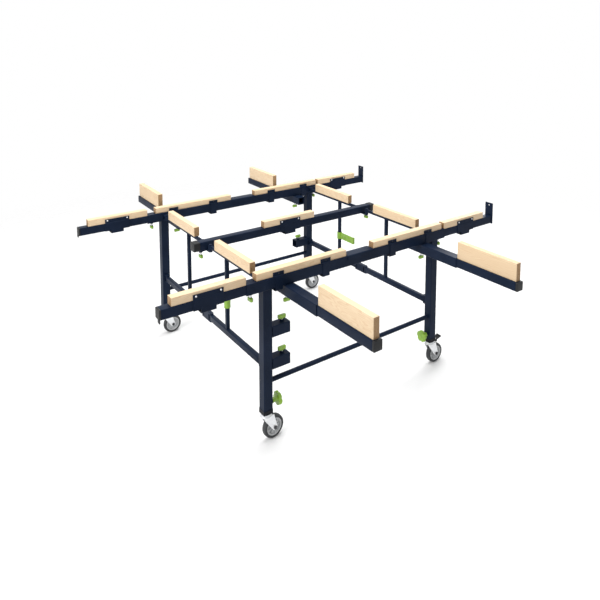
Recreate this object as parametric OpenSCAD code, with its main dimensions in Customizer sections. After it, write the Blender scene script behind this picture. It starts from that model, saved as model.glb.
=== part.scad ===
// Mobile saw table: two wheeled side frames, joined by two folding gates and a lift-off
// centre beam. X runs along the beams, Y from the front frame to the rear one, Z up from
// the floor. The origin is on the floor, under the middle of the table.

/* [Table] */
// Height of the work surface with the feet fully in
table_h = 705; // [695:1:745]
// Distance between the leg centres of one frame
leg_spacing = 934; // [900:2:1000]
// Distance between the centre planes of the front and rear frames
frame_spacing = 1050; // [1000:2:1150]
// Half of the overall length, out to the ends of the beam extensions
half_length = 900; // [880:1:1000]
// Half of the overall width, out to the ends of the outriggers
half_width = 1075; // [1060:1:1200]

/* [Main beams] */
// Outer width and height of the square beam tube
beam_w = 45; // [43:0.5:48]
// Wall of the beam tube and of the sockets
beam_wall = 3; // [2:0.1:3.5]
// Wall of the tubes that slide in them, and of the centre beam
slider_wall = 2; // [1.5:0.1:3]
// Reach of the beam past the centre of its left leg
beam_past_left_leg = 93; // [83:1:99]
// Reach of the beam past the centre of its right leg
beam_past_right_leg = 65; // [58:1:80]
// Length of beam extension that stays inside the beam
extension_grip = 400; // [250:5:450]
// Centre of the extension lock screw, in from the end of the beam
extension_lock_in = 26; // [24:1:30]

/* [Wood] */
// Height of the strips on the main beams
strip_h = 28; // [24:1:32]
// Width of every strip
strip_w = 34; // [28:1:38]
// Reach of a main beam strip past the centre of the leg
strip_past_leg = 48; // [20:1:50]
// Gap between the two strips of one beam
strip_gap = 154; // [150:2:190]
// Length of an extension strip
extension_strip_len = 295; // [260:1:300]
// Length of an outrigger board
outrigger_board_len = 307; // [260:1:307]
// Thickness of the outrigger and gate boards
board_t = 27; // [22:1:32]
// Length of a gate board
gate_board_len = 318; // [260:1:330]
// Length of the centre strip
centre_strip_len = 299; // [200:1:320]

/* [Strip clamps] */
// Thickness of the folded sheet
sheet_t = 3; // [2:0.1:3]
// Width of a narrow clamp
narrow_clamp_w = 50; // [40:1:50]
// Places of the inner narrow clamps, from the middle
inner_clamp_x = 188; // [170:1:220]
// Distance of the outer narrow clamps in from the centres of the legs
outer_clamp_in = 49; // [48:1:52]
// Width of a wide clamp
wide_clamp_w = 120; // [90:1:150]
// Width of the lower tab of a wide clamp
clamp_tab_w = 60; // [40:1:80]
// Drop of a clamp's strap under the beam
clamp_drop = 13; // [8:1:16]
// Height of clamp sheet that grips the strip
clamp_grip_h = 14; // [8:1:18]
// Width of the plain plate in the middle of a beam
middle_plate_w = 145; // [100:1:148]

/* [Legs] */
// Outer width of the square leg tube
leg_w = 40; // [36:0.5:45]
// Wall of the leg tube
leg_wall = 2; // [1.5:0.1:3]
// Height of the leg's lower end over the floor
leg_foot_z = 118; // [118:1:128]
// Height of the collar at the lower end
collar_h = 17; // [12:1:20]
// Length of foot tube inside the leg
foot_grip = 350; // [300:5:380]
// Height of the foot lock screw
foot_lock_z = 157; // [156:1:170]
// Drop of the round lower rail below the middle of the leg
rail_drop = 129; // [110:1:140]
// Radius of the lower rail
rail_r = 10; // [8:0.5:13]
// Wall of the lower rail's tube
rail_wall = 2; // [1:0.1:4]

/* [Storage sockets] */
// Length of a storage socket
socket_len = 81; // [60:1:83]
// Drop of the lower socket's centre below the middle of the leg
lower_socket_drop = 53; // [42:1:58]
// Rise of the upper socket's centre over the middle of the leg
upper_socket_rise = 80; // [72:1:100]
// Distance from the socket's open end to its lock screw
socket_lock_in = 26; // [22:1:30]

/* [Outriggers] */
// Distance of the front left outrigger in from the centre of its leg, and of the rear right one
outrigger_left_in = 99; // [99:1:117]
// Distance of the front right outrigger in from the centre of its leg, and of the rear left one
outrigger_right_in = 72; // [67:1:87]
// Reach of a receiver inwards from the frame's centre plane
receiver_in = 75; // [40:1:90]
// Reach of a receiver outwards from the frame's centre plane
receiver_out = 233; // [220:1:234]

/* [Gates] */
// Distance from the frame's centre plane to the gate's hinge axis
gate_hinge_in = 38; // [38:0.5:42]
// Distance from the middle of the table to each pin of the middle link
link_pin_out = 40; // [36:1:46]
// Width of a gate's top bar
top_bar_w = 12; // [10:0.5:14]
// Height of a gate's top bar
top_bar_h = 15; // [12:0.5:18]
// Depth of the top bar's upper face under the work surface
top_bar_drop = 45; // [42:1:50]
// Side of a gate's upright bar
upright_w = 16; // [12:0.5:17]
// Distance from the middle of the table to the upright bar
upright_y = 200; // [190:1:215]
// Width of a gate's lower bar
lower_bar_w = 20; // [16:0.5:20]
// Height of a gate's lower bar
lower_bar_h = 28; // [24:1:34]
// Wall of a gate's lower bar
lower_bar_wall = 2; // [1.5:0.1:4]
// Drop of the lower bar's underside below the middle of the leg
lower_bar_drop = 72; // [60:1:78]
// Radius of the hinge knuckles
knuckle_r = 9; // [8:0.25:9.5]
// Radius of the hinge pins
pin_r = 4; // [3:0.25:5]
// Reach of a latch from its bar
latch_len = 128; // [90:1:135]
// Height of a latch
latch_h = 38; // [30:1:45]
// Rise of a latch's lower edge over the middle of the leg
latch_rise = 53; // [30:1:66]

/* [Centre beam] */
// Width and height of the centre beam
centre_w = 38; // [36:0.5:40]
// Reach of the centre beam's tube past the middle links
centre_past_link = 41; // [41:1:45]
// Length of an end block
end_block_len = 30; // [20:1:35]
// Place of the wide clamp on the centre beam, left of the middle
centre_clamp_x = 20; // [0:1:40]
// Distance from the link out to the centre lock screw
centre_lock_out = 30; // [26:1:32]

/* [Casters] */
// Radius of a wheel
wheel_r = 47; // [45:0.5:49]
// Width of a wheel
wheel_w = 24; // [20:1:26]
// Distance from the swivel axis back to the wheel's axle
trail = 33; // [28:1:36]
// Thickness of the fork's cheeks
cheek_t = 3; // [2:0.5:4]
// Radius of the wheel's axle
axle_r = 5; // [4:0.5:6]

/* [Lock screws] */
// Radius of a lock screw's thread
screw_r = 4; // [3:0.5:4.5]
// Length of a wing knob
wing_len = 30; // [26:1:32]
// Width of a wing knob
wing_w = 16; // [14:0.5:18]
// Height of a wing knob's grip
wing_h = 14; // [10:0.5:16]
// Radius of a foot lock's star knob
star_r = 28; // [24:0.5:28]
// Thickness of a star knob
star_t = 13; // [10:0.5:15]

/* [Fits] */
// Air round a sliding tube
slide_gap = 0.3; // [0.2:0.05:0.4]
// Air round a hinge pin or an axle
pin_gap = 0.08; // [0.05:0.01:0.1]
// Air round the pin of the last gate hinge, where the linkage closes
closing_gap = 0.3; // [0.25:0.05:0.4]
// Air between two hinge knuckles
knuckle_gap = 0.4; // [0.3:0.05:0.5]
// Air round a lock screw in its threaded hole
screw_gap = 0.08; // [0.05:0.01:0.1]
// Air between a lock knob and the boss that it sits on
knob_gap = 0.3; // [0.2:0.05:0.5]
// Air left where two pieces rest on each other
seat = 0.1; // [0.05:0.05:0.2]

/* [Hidden] */

// Colours as the photograph shows them
steel = "#2b3145";
wood = "#ecd3a6";
green = "#97c93c";
zinc = "#c3c6ca";
black = "#1d1e22";
rubber = "#55585c";

$fn = 40;
cut = 1;

// Sides: the front and left are -1, the rear and right are 1
front = -1;
rear = 1;
left = -1;
right = 1;

// Levels
beam_top = table_h - strip_h;
beam_base = beam_top - beam_w;
beam_mid = beam_base + beam_w / 2;
receiver_top = beam_base - seat;
receiver_mid = receiver_top - beam_w / 2;
receiver_base = receiver_top - beam_w;
inner_w = beam_w - 2 * beam_wall - 2 * slide_gap;
inner_top = beam_mid + inner_w / 2;
outrigger_top = receiver_mid + inner_w / 2;
leg_mid = (leg_foot_z + beam_base) / 2;
rail_z = leg_mid - rail_drop;
lower_socket_z = leg_mid - lower_socket_drop;
upper_socket_z = leg_mid + upper_socket_rise;
lower_bar_z = leg_mid - lower_bar_drop;
latch_z = leg_mid + latch_rise;
tube_corner = 3;

// Frame lines
leg_x = leg_spacing / 2;
frame_y = frame_spacing / 2;
hinge_y = frame_y - gate_hinge_in;
beam_left = leg_x + beam_past_left_leg;
beam_right = leg_x + beam_past_right_leg;
strip_len = leg_x + strip_past_leg - strip_gap / 2;
outer_clamp_x = leg_x - outer_clamp_in;
outrigger_x = [
  [outrigger_left_in - leg_x, leg_x - outrigger_right_in],
  [outrigger_right_in - leg_x, leg_x - outrigger_left_in]];
centre_half = leg_x + centre_past_link;

// Clamps
clamp_top = beam_top + clamp_grip_h + sheet_t;
strap_base = beam_base - clamp_drop;
extension_clamp_in = 155;
bolt_r = 4.5;
bolt_h = 3;
bolt_edge = 10;

// Extensions
end_cap_t = 7;
stop_plate_t = 5;
stop_plate_rise = 35;
stop_hole_r = 4;
stop_hole_down = 12;
hook_drop = 12;
hook_t = 4;
hook_w = 18;

// Feet and casters
foot_w = leg_w - 2 * leg_wall - 2 * slide_gap;
foot_wall = 2;
foot_base = leg_foot_z - 2.5;
foot_plug_h = 28;
kingpin_r = 6;
kingpin_head_r = 9;
kingpin_head_t = 3;
swivel_gap = 0.4;
fork_top = foot_base - swivel_gap;
race_h = 9;
race_r = 21;
crown_t = 4;
crown_half = 23;
cheek_gap = 2.5;
cheek_y = wheel_w / 2 + cheek_gap;
axle_head_r = 8;
axle_head_t = 4;
tyre_t = 12;
hub_web = 10;
pedal_r = 3;
pedal_w = 28;
pedal_len = 36;
pedal_t = 4;
pedal_tilt = 14;
pedal_lug_w = 10;
pedal_x = crown_half + 11;
pedal_z = fork_top - 4;
swivel_angle = [[5, 0], [0, 0]];

// Screws and knobs
boss_r = 9;
boss_h = 7;
wing_neck_r = 5;
wing_neck_h = 12;
storage_neck_h = 5;
storage_grip_len = 36;
storage_grip_w = 18;
star_neck_r = 11;
star_stand_off = 35;
star_scallops = 5;
star_scallop_r = 9;

// Gates
bar_top = table_h - top_bar_drop;
bar_base = bar_top - top_bar_h;
lug_t = 6;
gate_board_in = 107;
drain_hole_r = 3;
fold_clear = knuckle_r + 2;
gate_len = hinge_y - link_pin_out;

// Middle links and centre beam
centre_base = beam_base + 4;
centre_top = centre_base + centre_w;
link_plate_t = 6;
link_plate_top = centre_base - slide_gap;
link_plate_base = link_plate_top - link_plate_t;
link_web_half = link_pin_out - knuckle_r - 5;
pin_head_r = 7;
pin_head_h = 4;
saddle_w = 32;
saddle_out = centre_lock_out + 9;
block_proud = 3;
latch_t = 6;
latch_hook = 9;
latch_grip_r = 14;
left_latch_angle = 38;

// Square tube section with exact round corners
module tube_section(w, r) {
  square([w - 2 * r, w], center = true);
  square([w, w - 2 * r], center = true);
  for (sx = [-1, 1], sy = [-1, 1])
    translate([sx * (w / 2 - r), sy * (w / 2 - r)]) circle(r, $fn = 24);
}

// Square tube along +Z, from z = 0
module square_tube(len, w, wall) {
  difference() {
    linear_extrude(len) tube_section(w, tube_corner);
    translate([0, 0, -cut]) linear_extrude(len + 2 * cut) square(w - 2 * wall, center = true);
  }
}

// Turns something built along +Z so that it runs along +X
module along_x() {
  rotate([0, 90, 0]) children();
}

// Turns something built along +Z so that it runs along -Y
module along_out() {
  rotate([90, 0, 0]) children();
}

// Places something in a frame: its own -Y points outwards from the table
module in_frame(side) {
  translate([0, side * frame_y, 0]) mirror([0, side == rear ? 1 : 0, 0]) children();
}

// Threaded boss round a lock screw, standing on z = 0 and pointing down
module boss() {
  translate([0, 0, -boss_h]) difference() {
    cylinder(r = boss_r, h = boss_h);
    translate([0, 0, -cut]) cylinder(r = screw_r + screw_gap, h = boss_h + 2 * cut);
  }
}

// Hole for a lock screw through a wall that ends at z = 0
module screw_hole(depth) {
  translate([0, 0, -cut]) cylinder(r = screw_r + screw_gap, h = depth + 2 * cut);
}

// Wing knob on its stem, hanging from z = 0, with its screw reaching up by reach
module wing_knob(reach, neck = wing_neck_h, grip_len = wing_len, grip_w = wing_w) {
  color(green) translate([0, 0, -neck - wing_h]) linear_extrude(wing_h) {
    square([grip_len - grip_w, grip_w], center = true);
    for (s = [-1, 1]) translate([s * (grip_len - grip_w) / 2, 0]) circle(grip_w / 2);
  }
  color(zinc) {
    translate([0, 0, -neck]) cylinder(r = wing_neck_r, h = neck);
    cylinder(r = screw_r, h = reach);
  }
}

// Folded sheet that holds a strip on a tube, as one side of its section
module clamp_side(tube_half, base_z, tube_top, top_z) {
  outer = tube_half + seat;
  inner = strip_w / 2 + seat;
  shelf = tube_top + seat;
  polygon([
    [outer, base_z], [outer, shelf], [inner, shelf], [inner, top_z],
    [inner + sheet_t, top_z], [inner + sheet_t, shelf + sheet_t],
    [outer + sheet_t, shelf + sheet_t], [outer + sheet_t, base_z]]);
}

// One side of a clamp, width along X, centred on x = 0
module clamp_sheet(width, tube_half, base_z, tube_top, top_z) {
  translate([-width / 2, 0, 0]) rotate([90, 0, 90]) linear_extrude(width)
    clamp_side(tube_half, base_z, tube_top, top_z);
}

// Narrow clamp, with or without its strap under the beam
module narrow_clamp(strapped) {
  base_z = strapped ? strap_base : beam_base;
  for (m = [0, 1]) mirror([0, m, 0])
    clamp_sheet(narrow_clamp_w, beam_w / 2, base_z, beam_top, clamp_top);
  if (strapped) strap(narrow_clamp_w, beam_w / 2);
}

// Strap that joins the two sides of a clamp under the beam
module strap(width, tube_half) {
  reach = tube_half + seat + sheet_t;
  translate([-width / 2, -reach, strap_base]) cube([width, 2 * reach, sheet_t]);
}

// Wide clamp with its narrower tab, strap and two bolts a side
module wide_clamp(tube_half, tube_top) {
  waist = tube_top - 2 * tube_half;
  color(steel) {
    for (m = [0, 1]) mirror([0, m, 0]) {
      clamp_sheet(wide_clamp_w, tube_half, waist, tube_top, clamp_top);
      clamp_sheet(clamp_tab_w, tube_half, strap_base, tube_top, clamp_top);
    }
    strap(clamp_tab_w, tube_half);
  }
  bolt_z = (beam_top + seat + sheet_t + clamp_top) / 2;
  color(black) for (m = [0, 1], s = [-1, 1])
    mirror([0, m, 0])
      translate([s * (wide_clamp_w / 2 - bolt_edge), strip_w / 2 + 2 * seat + sheet_t, bolt_z])
        rotate([-90, 0, 0]) cylinder(r = bolt_r, h = bolt_h);
}

// Two lugs and a pin for a gate's knuckle, built out from a face at y = face
module hinge_lugs(face, z_low, z_high) {
  for (z = [z_low - knuckle_gap - lug_t, z_high + knuckle_gap]) translate([0, 0, z]) {
    translate([0, gate_hinge_in, 0]) cylinder(r = knuckle_r, h = lug_t);
    translate([-knuckle_r, face, 0]) cube([2 * knuckle_r, gate_hinge_in - face, lug_t]);
  }
  translate([0, gate_hinge_in, z_low - knuckle_gap - lug_t])
    cylinder(r = pin_r, h = z_high - z_low + 2 * (knuckle_gap + lug_t));
}

// Receiver tube for an outrigger, across the underside of the beam
module receiver() {
  difference() {
    translate([0, receiver_in, receiver_mid])
      along_out() square_tube(receiver_in + receiver_out, beam_w, beam_wall);
    translate([0, 0, receiver_base]) screw_hole(beam_wall);
  }
  translate([0, 0, receiver_base]) boss();
}

// Main beam with its lock bosses, upper gate hinges and outrigger receivers
module beam(side) {
  color(steel) in_frame(side) {
    difference() {
      translate([-beam_left, 0, beam_mid]) along_x() square_tube(beam_left + beam_right, beam_w, beam_wall);
      for (x = [extension_lock_in - beam_left, beam_right - extension_lock_in])
        translate([x, 0, beam_base]) screw_hole(beam_wall);
    }
    for (x = [extension_lock_in - beam_left, beam_right - extension_lock_in])
      translate([x, 0, beam_base]) boss();
    for (s = [left, right]) translate([s * leg_x, 0, 0]) hinge_lugs(beam_w / 2, bar_base, bar_top);
    for (x = outrigger_x[side == front ? 0 : 1]) translate([x, 0, 0]) receiver();
  }
}

// Leg tube with its collar, lower gate hinge, foot lock boss and, on two legs, the sockets
module leg(side, hand, with_sockets) {
  inward = -hand;
  lock_face = inward * leg_w / 2;
  color(steel) in_frame(side) translate([hand * leg_x, 0, 0]) {
    difference() {
      translate([0, 0, leg_foot_z + collar_h / 3])
        square_tube(beam_base - seat - leg_foot_z - collar_h / 3, leg_w, leg_wall);
      translate([lock_face, 0, foot_lock_z]) rotate([0, -90 * inward, 0]) screw_hole(leg_wall);
    }
    translate([lock_face, 0, foot_lock_z]) rotate([0, -90 * inward, 0]) boss();
    hinge_lugs(leg_w / 2, lower_bar_z, lower_bar_z + lower_bar_h);
    if (with_sockets) for (z = [lower_socket_z, upper_socket_z])
      translate([inward * (leg_w / 2 + seat), 0, z]) socket(inward);
  }
  color(black) in_frame(side) translate([hand * leg_x, 0, leg_foot_z]) collar();
}

// Collar round the lower end of a leg
module collar() {
  outer = leg_w + 3;
  difference() {
    linear_extrude(collar_h) tube_section(outer, tube_corner + 1);
    translate([0, 0, -cut]) linear_extrude(collar_h + 2 * cut)
      square(foot_w + 2 * slide_gap, center = true);
    translate([0, 0, collar_h / 3 - seat]) linear_extrude(collar_h)
      square(leg_w + 2 * seat, center = true);
  }
}

// Storage socket with its lock boss on top, from x = 0 towards the given direction
module socket(direction) {
  lock_x = direction * (socket_len - socket_lock_in);
  difference() {
    translate([direction > 0 ? 0 : -socket_len, 0, 0]) along_x() square_tube(socket_len, beam_w, beam_wall);
    translate([lock_x, 0, beam_w / 2 - beam_wall]) screw_hole(beam_wall);
  }
  translate([lock_x, 0, beam_w / 2]) mirror([0, 0, 1]) boss();
}

// Knob on top of one storage socket
module storage_knob(side, hand, socket_z) {
  inward = -hand;
  in_frame(side) translate([
    hand * leg_x + inward * (leg_w / 2 + seat + socket_len - socket_lock_in),
    0,
    socket_z + beam_w / 2 + boss_h + knob_gap])
    mirror([0, 0, 1]) wing_knob(boss_h + beam_wall + knob_gap,
      storage_neck_h, storage_grip_len, storage_grip_w);
}

// Round rail between the two legs of a frame
module lower_rail(side) {
  reach = leg_x - leg_w / 2 - seat;
  color(steel) in_frame(side) translate([-reach, 0, rail_z]) along_x() difference() {
    cylinder(r = rail_r, h = 2 * reach);
    translate([0, 0, -cut]) cylinder(r = rail_r - rail_wall, h = 2 * reach + 2 * cut);
  }
}

// The two wood strips of a main beam
module wood_strips(side) {
  color(wood) in_frame(side) for (x = [-strip_gap / 2 - strip_len, strip_gap / 2])
    translate([x, -strip_w / 2, beam_top + seat]) cube([strip_len, strip_w, strip_h - seat]);
}

// The four narrow clamps of a main beam and the plain plate in its middle
module strip_clamps(side) {
  plain_end = -side;
  color(steel) in_frame(side) {
    for (x = [-plain_end * outer_clamp_x, -inner_clamp_x, inner_clamp_x]) translate([x, 0, 0]) narrow_clamp(true);
    translate([plain_end * outer_clamp_x, 0, 0]) narrow_clamp(false);
    translate([-middle_plate_w / 2, 0, 0]) rotate([90, 0, 90]) linear_extrude(middle_plate_w)
      middle_plate_section();
  }
}

// Section of the plain plate: a shallow channel over the beam
module middle_plate_section() {
  half = beam_w / 2 + seat;
  lip = 18;
  difference() {
    translate([-half - sheet_t, beam_top - lip]) square([2 * (half + sheet_t), lip + seat + sheet_t]);
    translate([-half, beam_top - lip - cut]) square([2 * half, lip + cut + seat]);
  }
}

// Beam extension: inner tube, end piece, strip and wide clamp, for one end of a beam
module extension(side, hand) {
  beam_end = hand == left ? beam_left : beam_right;
  end_t = hand == left ? end_cap_t : stop_plate_t;
  tube_len = half_length - end_t - beam_end + extension_grip;
  in_frame(side) mirror([hand == left ? 1 : 0, 0, 0]) {
    color(steel) translate([beam_end - extension_grip, 0, beam_mid])
      along_x() square_tube(tube_len, inner_w, slider_wall);
    color(wood) translate([beam_end + slide_gap, -strip_w / 2, inner_top + seat])
      cube([extension_strip_len, strip_w, table_h - inner_top - seat]);
    translate([beam_end + extension_clamp_in + slide_gap, 0, 0]) wide_clamp(inner_w / 2, inner_top);
    if (hand == left) end_cap();
    else stop_plate();
  }
}

// Closed cap with a small hook, at the far end of a left extension
module end_cap() {
  color(black) {
    translate([half_length - end_cap_t + seat, -inner_w / 2, inner_top - inner_w])
      cube([end_cap_t - seat, inner_w, inner_w]);
    translate([half_length - hook_t, -inner_w / 2, inner_top - inner_w - hook_drop])
      cube([hook_t, hook_w, hook_drop + cut]);
  }
}

// Upright stop with one hole, at the far end of a right extension
module stop_plate() {
  color(steel) difference() {
    translate([half_length - stop_plate_t + seat, -beam_w / 2, beam_base])
      cube([stop_plate_t - seat, beam_w, table_h + stop_plate_rise - beam_base]);
    translate([half_length - stop_plate_t - cut, 0, table_h + stop_plate_rise - stop_hole_down])
      along_x() cylinder(r = stop_hole_r, h = stop_plate_t + 2 * cut);
  }
}

// Knob under one end of a beam, which locks the extension
module extension_knob(side, hand) {
  x = hand == left ? extension_lock_in - beam_left : beam_right - extension_lock_in;
  in_frame(side) translate([x, 0, beam_base - boss_h - knob_gap]) rotate(side * 90)
    wing_knob(boss_h + beam_wall + knob_gap);
}

// Outrigger: inner tube with its end cap, and the tall board that stands on it
module outrigger(side, hand) {
  x = outrigger_x[side == front ? 0 : 1][hand == left ? 0 : 1];
  cap_t = 9;
  reach = half_width - frame_y;
  in_frame(side) translate([x, 0, 0]) {
    color(steel) translate([0, receiver_in, receiver_mid])
      along_out() square_tube(receiver_in + reach - cap_t - seat, inner_w, slider_wall);
    color(black) translate([-inner_w / 2, -reach, receiver_mid - inner_w / 2]) cube([inner_w, cap_t, inner_w]);
    color(wood) translate([-board_t / 2, -receiver_out - slide_gap - outrigger_board_len, outrigger_top + seat])
      cube([board_t, outrigger_board_len, table_h - outrigger_top - seat]);
  }
}

// Knob under a receiver, which locks the outrigger
module outrigger_knob(side, hand) {
  x = outrigger_x[side == front ? 0 : 1][hand == left ? 0 : 1];
  in_frame(side) translate([x, 0, receiver_base - boss_h - knob_gap])
    wing_knob(boss_h + beam_wall + knob_gap);
}

// Star knob on the side of a leg, which locks the foot tube
module foot_knob(side, hand) {
  inward = -hand;
  screw_len = boss_h + leg_wall + knob_gap;
  in_frame(side) translate([hand * leg_x + inward * (leg_w / 2 + boss_h + knob_gap), 0, foot_lock_z])
    rotate([0, 90 * inward, 0]) {
      color(zinc) translate([0, 0, -screw_len]) cylinder(r = screw_r, h = screw_len);
      color(green) {
        cylinder(r = star_neck_r, h = star_stand_off - boss_h - star_t / 2);
        translate([0, 0, star_stand_off - boss_h - star_t / 2]) star();
      }
    }
}

// Star knob's grip, on z = 0
module star() {
  difference() {
    cylinder(r = star_r, h = star_t, $fn = 64);
    for (i = [0:star_scallops - 1]) rotate(90 + (i + 0.5) * 360 / star_scallops)
      translate([star_r + star_scallop_r / 2, 0, -cut]) cylinder(r = star_scallop_r, h = star_t + 2 * cut);
  }
}

// Foot tube that slides in a leg, with a plug and the headed king pin that the caster turns on
module foot_tube(side, hand) {
  pin_len = race_h + crown_t + 2 * swivel_gap + kingpin_head_t;
  color(zinc) in_frame(side) translate([hand * leg_x, 0, foot_base]) {
    linear_extrude(foot_plug_h) square(foot_w, center = true);
    translate([0, 0, foot_plug_h]) linear_extrude(foot_grip - foot_plug_h) difference() {
      square(foot_w, center = true);
      square(foot_w - 2 * foot_wall, center = true);
    }
    translate([0, 0, -pin_len]) cylinder(r = kingpin_r, h = pin_len + cut);
    translate([0, 0, -pin_len]) cylinder(r = kingpin_head_r, h = kingpin_head_t);
  }
}

// Places something on a caster: swivel axis on Z, the wheel trailing along +X
module on_caster(side, hand) {
  angle = swivel_angle[side == front ? 0 : 1][hand == left ? 0 : 1];
  translate([hand * leg_x, side * frame_y, 0]) rotate(angle) children();
}

// Caster fork: ball race, crown, two cheeks, the wheel's axle and any pedal lug
module caster_fork(side, hand, braked) {
  crown_z = fork_top - race_h - crown_t;
  color(zinc) on_caster(side, hand) {
    difference() {
      union() {
        translate([0, 0, fork_top - race_h]) cylinder(r = race_r, h = race_h);
        translate([0, 0, crown_z]) cylinder(r = crown_half, h = crown_t);
        translate([-crown_half / 2, -cheek_y - cheek_t, crown_z])
          cube([crown_half, 2 * (cheek_y + cheek_t), crown_t]);
      }
      translate([0, 0, crown_z - cut])
        cylinder(r = kingpin_r + pin_gap, h = race_h + crown_t + 2 * cut);
    }
    for (m = [0, 1]) mirror([0, m, 0]) translate([0, cheek_y + cheek_t, 0]) rotate([90, 0, 0])
      linear_extrude(cheek_t) cheek_outline(crown_z + crown_t);
    translate([trail, cheek_y + cheek_t + axle_head_t, wheel_r]) rotate([90, 0, 0])
      cylinder(r = axle_r, h = 2 * (cheek_y + cheek_t + axle_head_t));
    for (m = [0, 1]) mirror([0, m, 0])
      translate([trail, cheek_y + cheek_t + axle_head_t, wheel_r]) rotate([90, 0, 0])
        cylinder(r = axle_head_r, h = axle_head_t);
    if (braked) pedal_lug(crown_z);
  }
}

// Lug and cross pin that carry a brake pedal
module pedal_lug(crown_z) {
  translate([crown_half - 5, -pedal_lug_w / 2, crown_z])
    cube([pedal_x - crown_half + 5, pedal_lug_w, pedal_z + pedal_r - crown_z]);
  translate([pedal_x, 0, pedal_z]) rotate([90, 0, 0]) {
    cylinder(r = pedal_r + 2, h = pedal_lug_w, center = true);
    cylinder(r = pedal_r, h = pedal_w, center = true);
  }
}

// Outline of a fork cheek: wide at the crown, round at the axle
module cheek_outline(top_z) {
  foot_r = 12;
  translate([trail, wheel_r]) circle(foot_r);
  polygon([
    [-crown_half + 4, top_z], [crown_half + 6, top_z],
    [trail + foot_r, wheel_r], [trail - foot_r, wheel_r - 2]]);
}

// Wheel: grey tyre on a light hub, running on the fork's axle
module wheel(side, hand) {
  rim_r = wheel_r - tyre_t;
  on_caster(side, hand) translate([trail, 0, wheel_r]) rotate([90, 0, 0]) {
    color(rubber) rotate_extrude($fn = 72) polygon([
      [rim_r + seat, -wheel_w / 2 + 1], [wheel_r - 4, -wheel_w / 2], [wheel_r - 1, -wheel_w / 2 + 3],
      [wheel_r, 0],
      [wheel_r - 1, wheel_w / 2 - 3], [wheel_r - 4, wheel_w / 2], [rim_r + seat, wheel_w / 2 - 1]]);
    color(zinc) rotate_extrude($fn = 72) polygon([
      [axle_r + pin_gap, -wheel_w / 2], [axle_r + 7, -wheel_w / 2], [axle_r + 9, -hub_web / 2],
      [rim_r - 6, -hub_web / 2], [rim_r - 4, -wheel_w / 2 + 1], [rim_r, -wheel_w / 2 + 1],
      [rim_r, wheel_w / 2 - 1], [rim_r - 4, wheel_w / 2 - 1], [rim_r - 6, hub_web / 2],
      [axle_r + 9, hub_web / 2], [axle_r + 7, wheel_w / 2], [axle_r + pin_gap, wheel_w / 2]]);
  }
}

// Brake pedal over the trailing side of a caster: two arms on the cross pin and a tread
module brake_pedal(side, hand) {
  arm_y = pedal_lug_w / 2 + knuckle_gap;
  arm_w = pedal_w / 2 - arm_y;
  hub_r = pedal_r + 3;
  color(black) on_caster(side, hand) translate([pedal_x, 0, pedal_z]) rotate([0, -pedal_tilt, 0]) {
    difference() {
      for (m = [0, 1]) mirror([0, m, 0]) {
        translate([0, arm_y + arm_w, 0]) rotate([90, 0, 0]) cylinder(r = hub_r, h = arm_w);
        translate([0, arm_y, hub_r - pedal_t]) cube([pedal_len, arm_w, pedal_t]);
      }
      rotate([90, 0, 0]) cylinder(r = pedal_r + pin_gap, h = pedal_w + 2 * cut, center = true);
    }
    translate([hub_r + 4, -pedal_w / 2, hub_r - pedal_t]) cube([pedal_len - hub_r - 4, pedal_w, pedal_t]);
    translate([pedal_len - 6, -pedal_w / 2, hub_r - pedal_t]) cube([6, pedal_w, pedal_t + 3]);
  }
}

// Half of a folding gate: its leg hinge is on the origin and its link hinge on +Y
module gate_half(leg_pin_gap) {
  knuckle_base = link_plate_top + knuckle_gap;
  color(steel) {
    difference() {
      union() {
        translate([0, 0, bar_base]) cylinder(r = knuckle_r, h = top_bar_h);
        translate([-top_bar_w / 2, 0, bar_base]) cube([top_bar_w, gate_len, top_bar_h]);
        translate([0, gate_len, knuckle_base]) cylinder(r = knuckle_r, h = bar_top - knuckle_base);
        for (y = [0, gate_len]) translate([0, y, lower_bar_z]) {
          cylinder(r = knuckle_r, h = lower_bar_h);
          translate([-knuckle_r, y == 0 ? 0 : -fold_clear - cut, 0])
            cube([2 * knuckle_r, fold_clear + cut, lower_bar_h]);
        }
        translate([-lower_bar_w / 2, fold_clear, lower_bar_z])
          cube([lower_bar_w, gate_len - 2 * fold_clear, lower_bar_h]);
      }
      translate([0, 0, lower_bar_z - cut])
        cylinder(r = pin_r + leg_pin_gap, h = bar_top - lower_bar_z + 2 * cut);
      translate([0, gate_len, lower_bar_z - cut])
        cylinder(r = pin_r + pin_gap, h = bar_top - lower_bar_z + 2 * cut);
      lower_bar_bore();
    }
    translate([-upright_w / 2, hinge_y - upright_y - upright_w / 2, lower_bar_z + lower_bar_h - cut])
      cube([upright_w, upright_w, bar_base - lower_bar_z - lower_bar_h + 2 * cut]);
  }
  color(wood) translate([-board_t / 2, hinge_y - gate_board_in - gate_board_len, bar_top + seat])
    cube([board_t, gate_board_len, table_h - bar_top - seat]);
}

// Inside of a gate's lower bar, which is a tube closed at both ends, with a drain hole below
module lower_bar_bore() {
  start = fold_clear + lower_bar_wall;
  inside_w = lower_bar_w - 2 * lower_bar_wall;
  translate([-inside_w / 2, start, lower_bar_z + lower_bar_wall])
    cube([inside_w, gate_len - 2 * start, lower_bar_h - 2 * lower_bar_wall]);
  translate([0, gate_len / 2, lower_bar_z - cut]) cylinder(r = drain_hole_r, h = lower_bar_wall + 2 * cut);
}

// Places a gate half: its own +Y points from the leg to the middle of the table
module in_gate(side, hand) {
  translate([hand * leg_x, side * hinge_y, 0]) mirror([0, side == rear ? 1 : 0, 0]) children();
}

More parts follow.
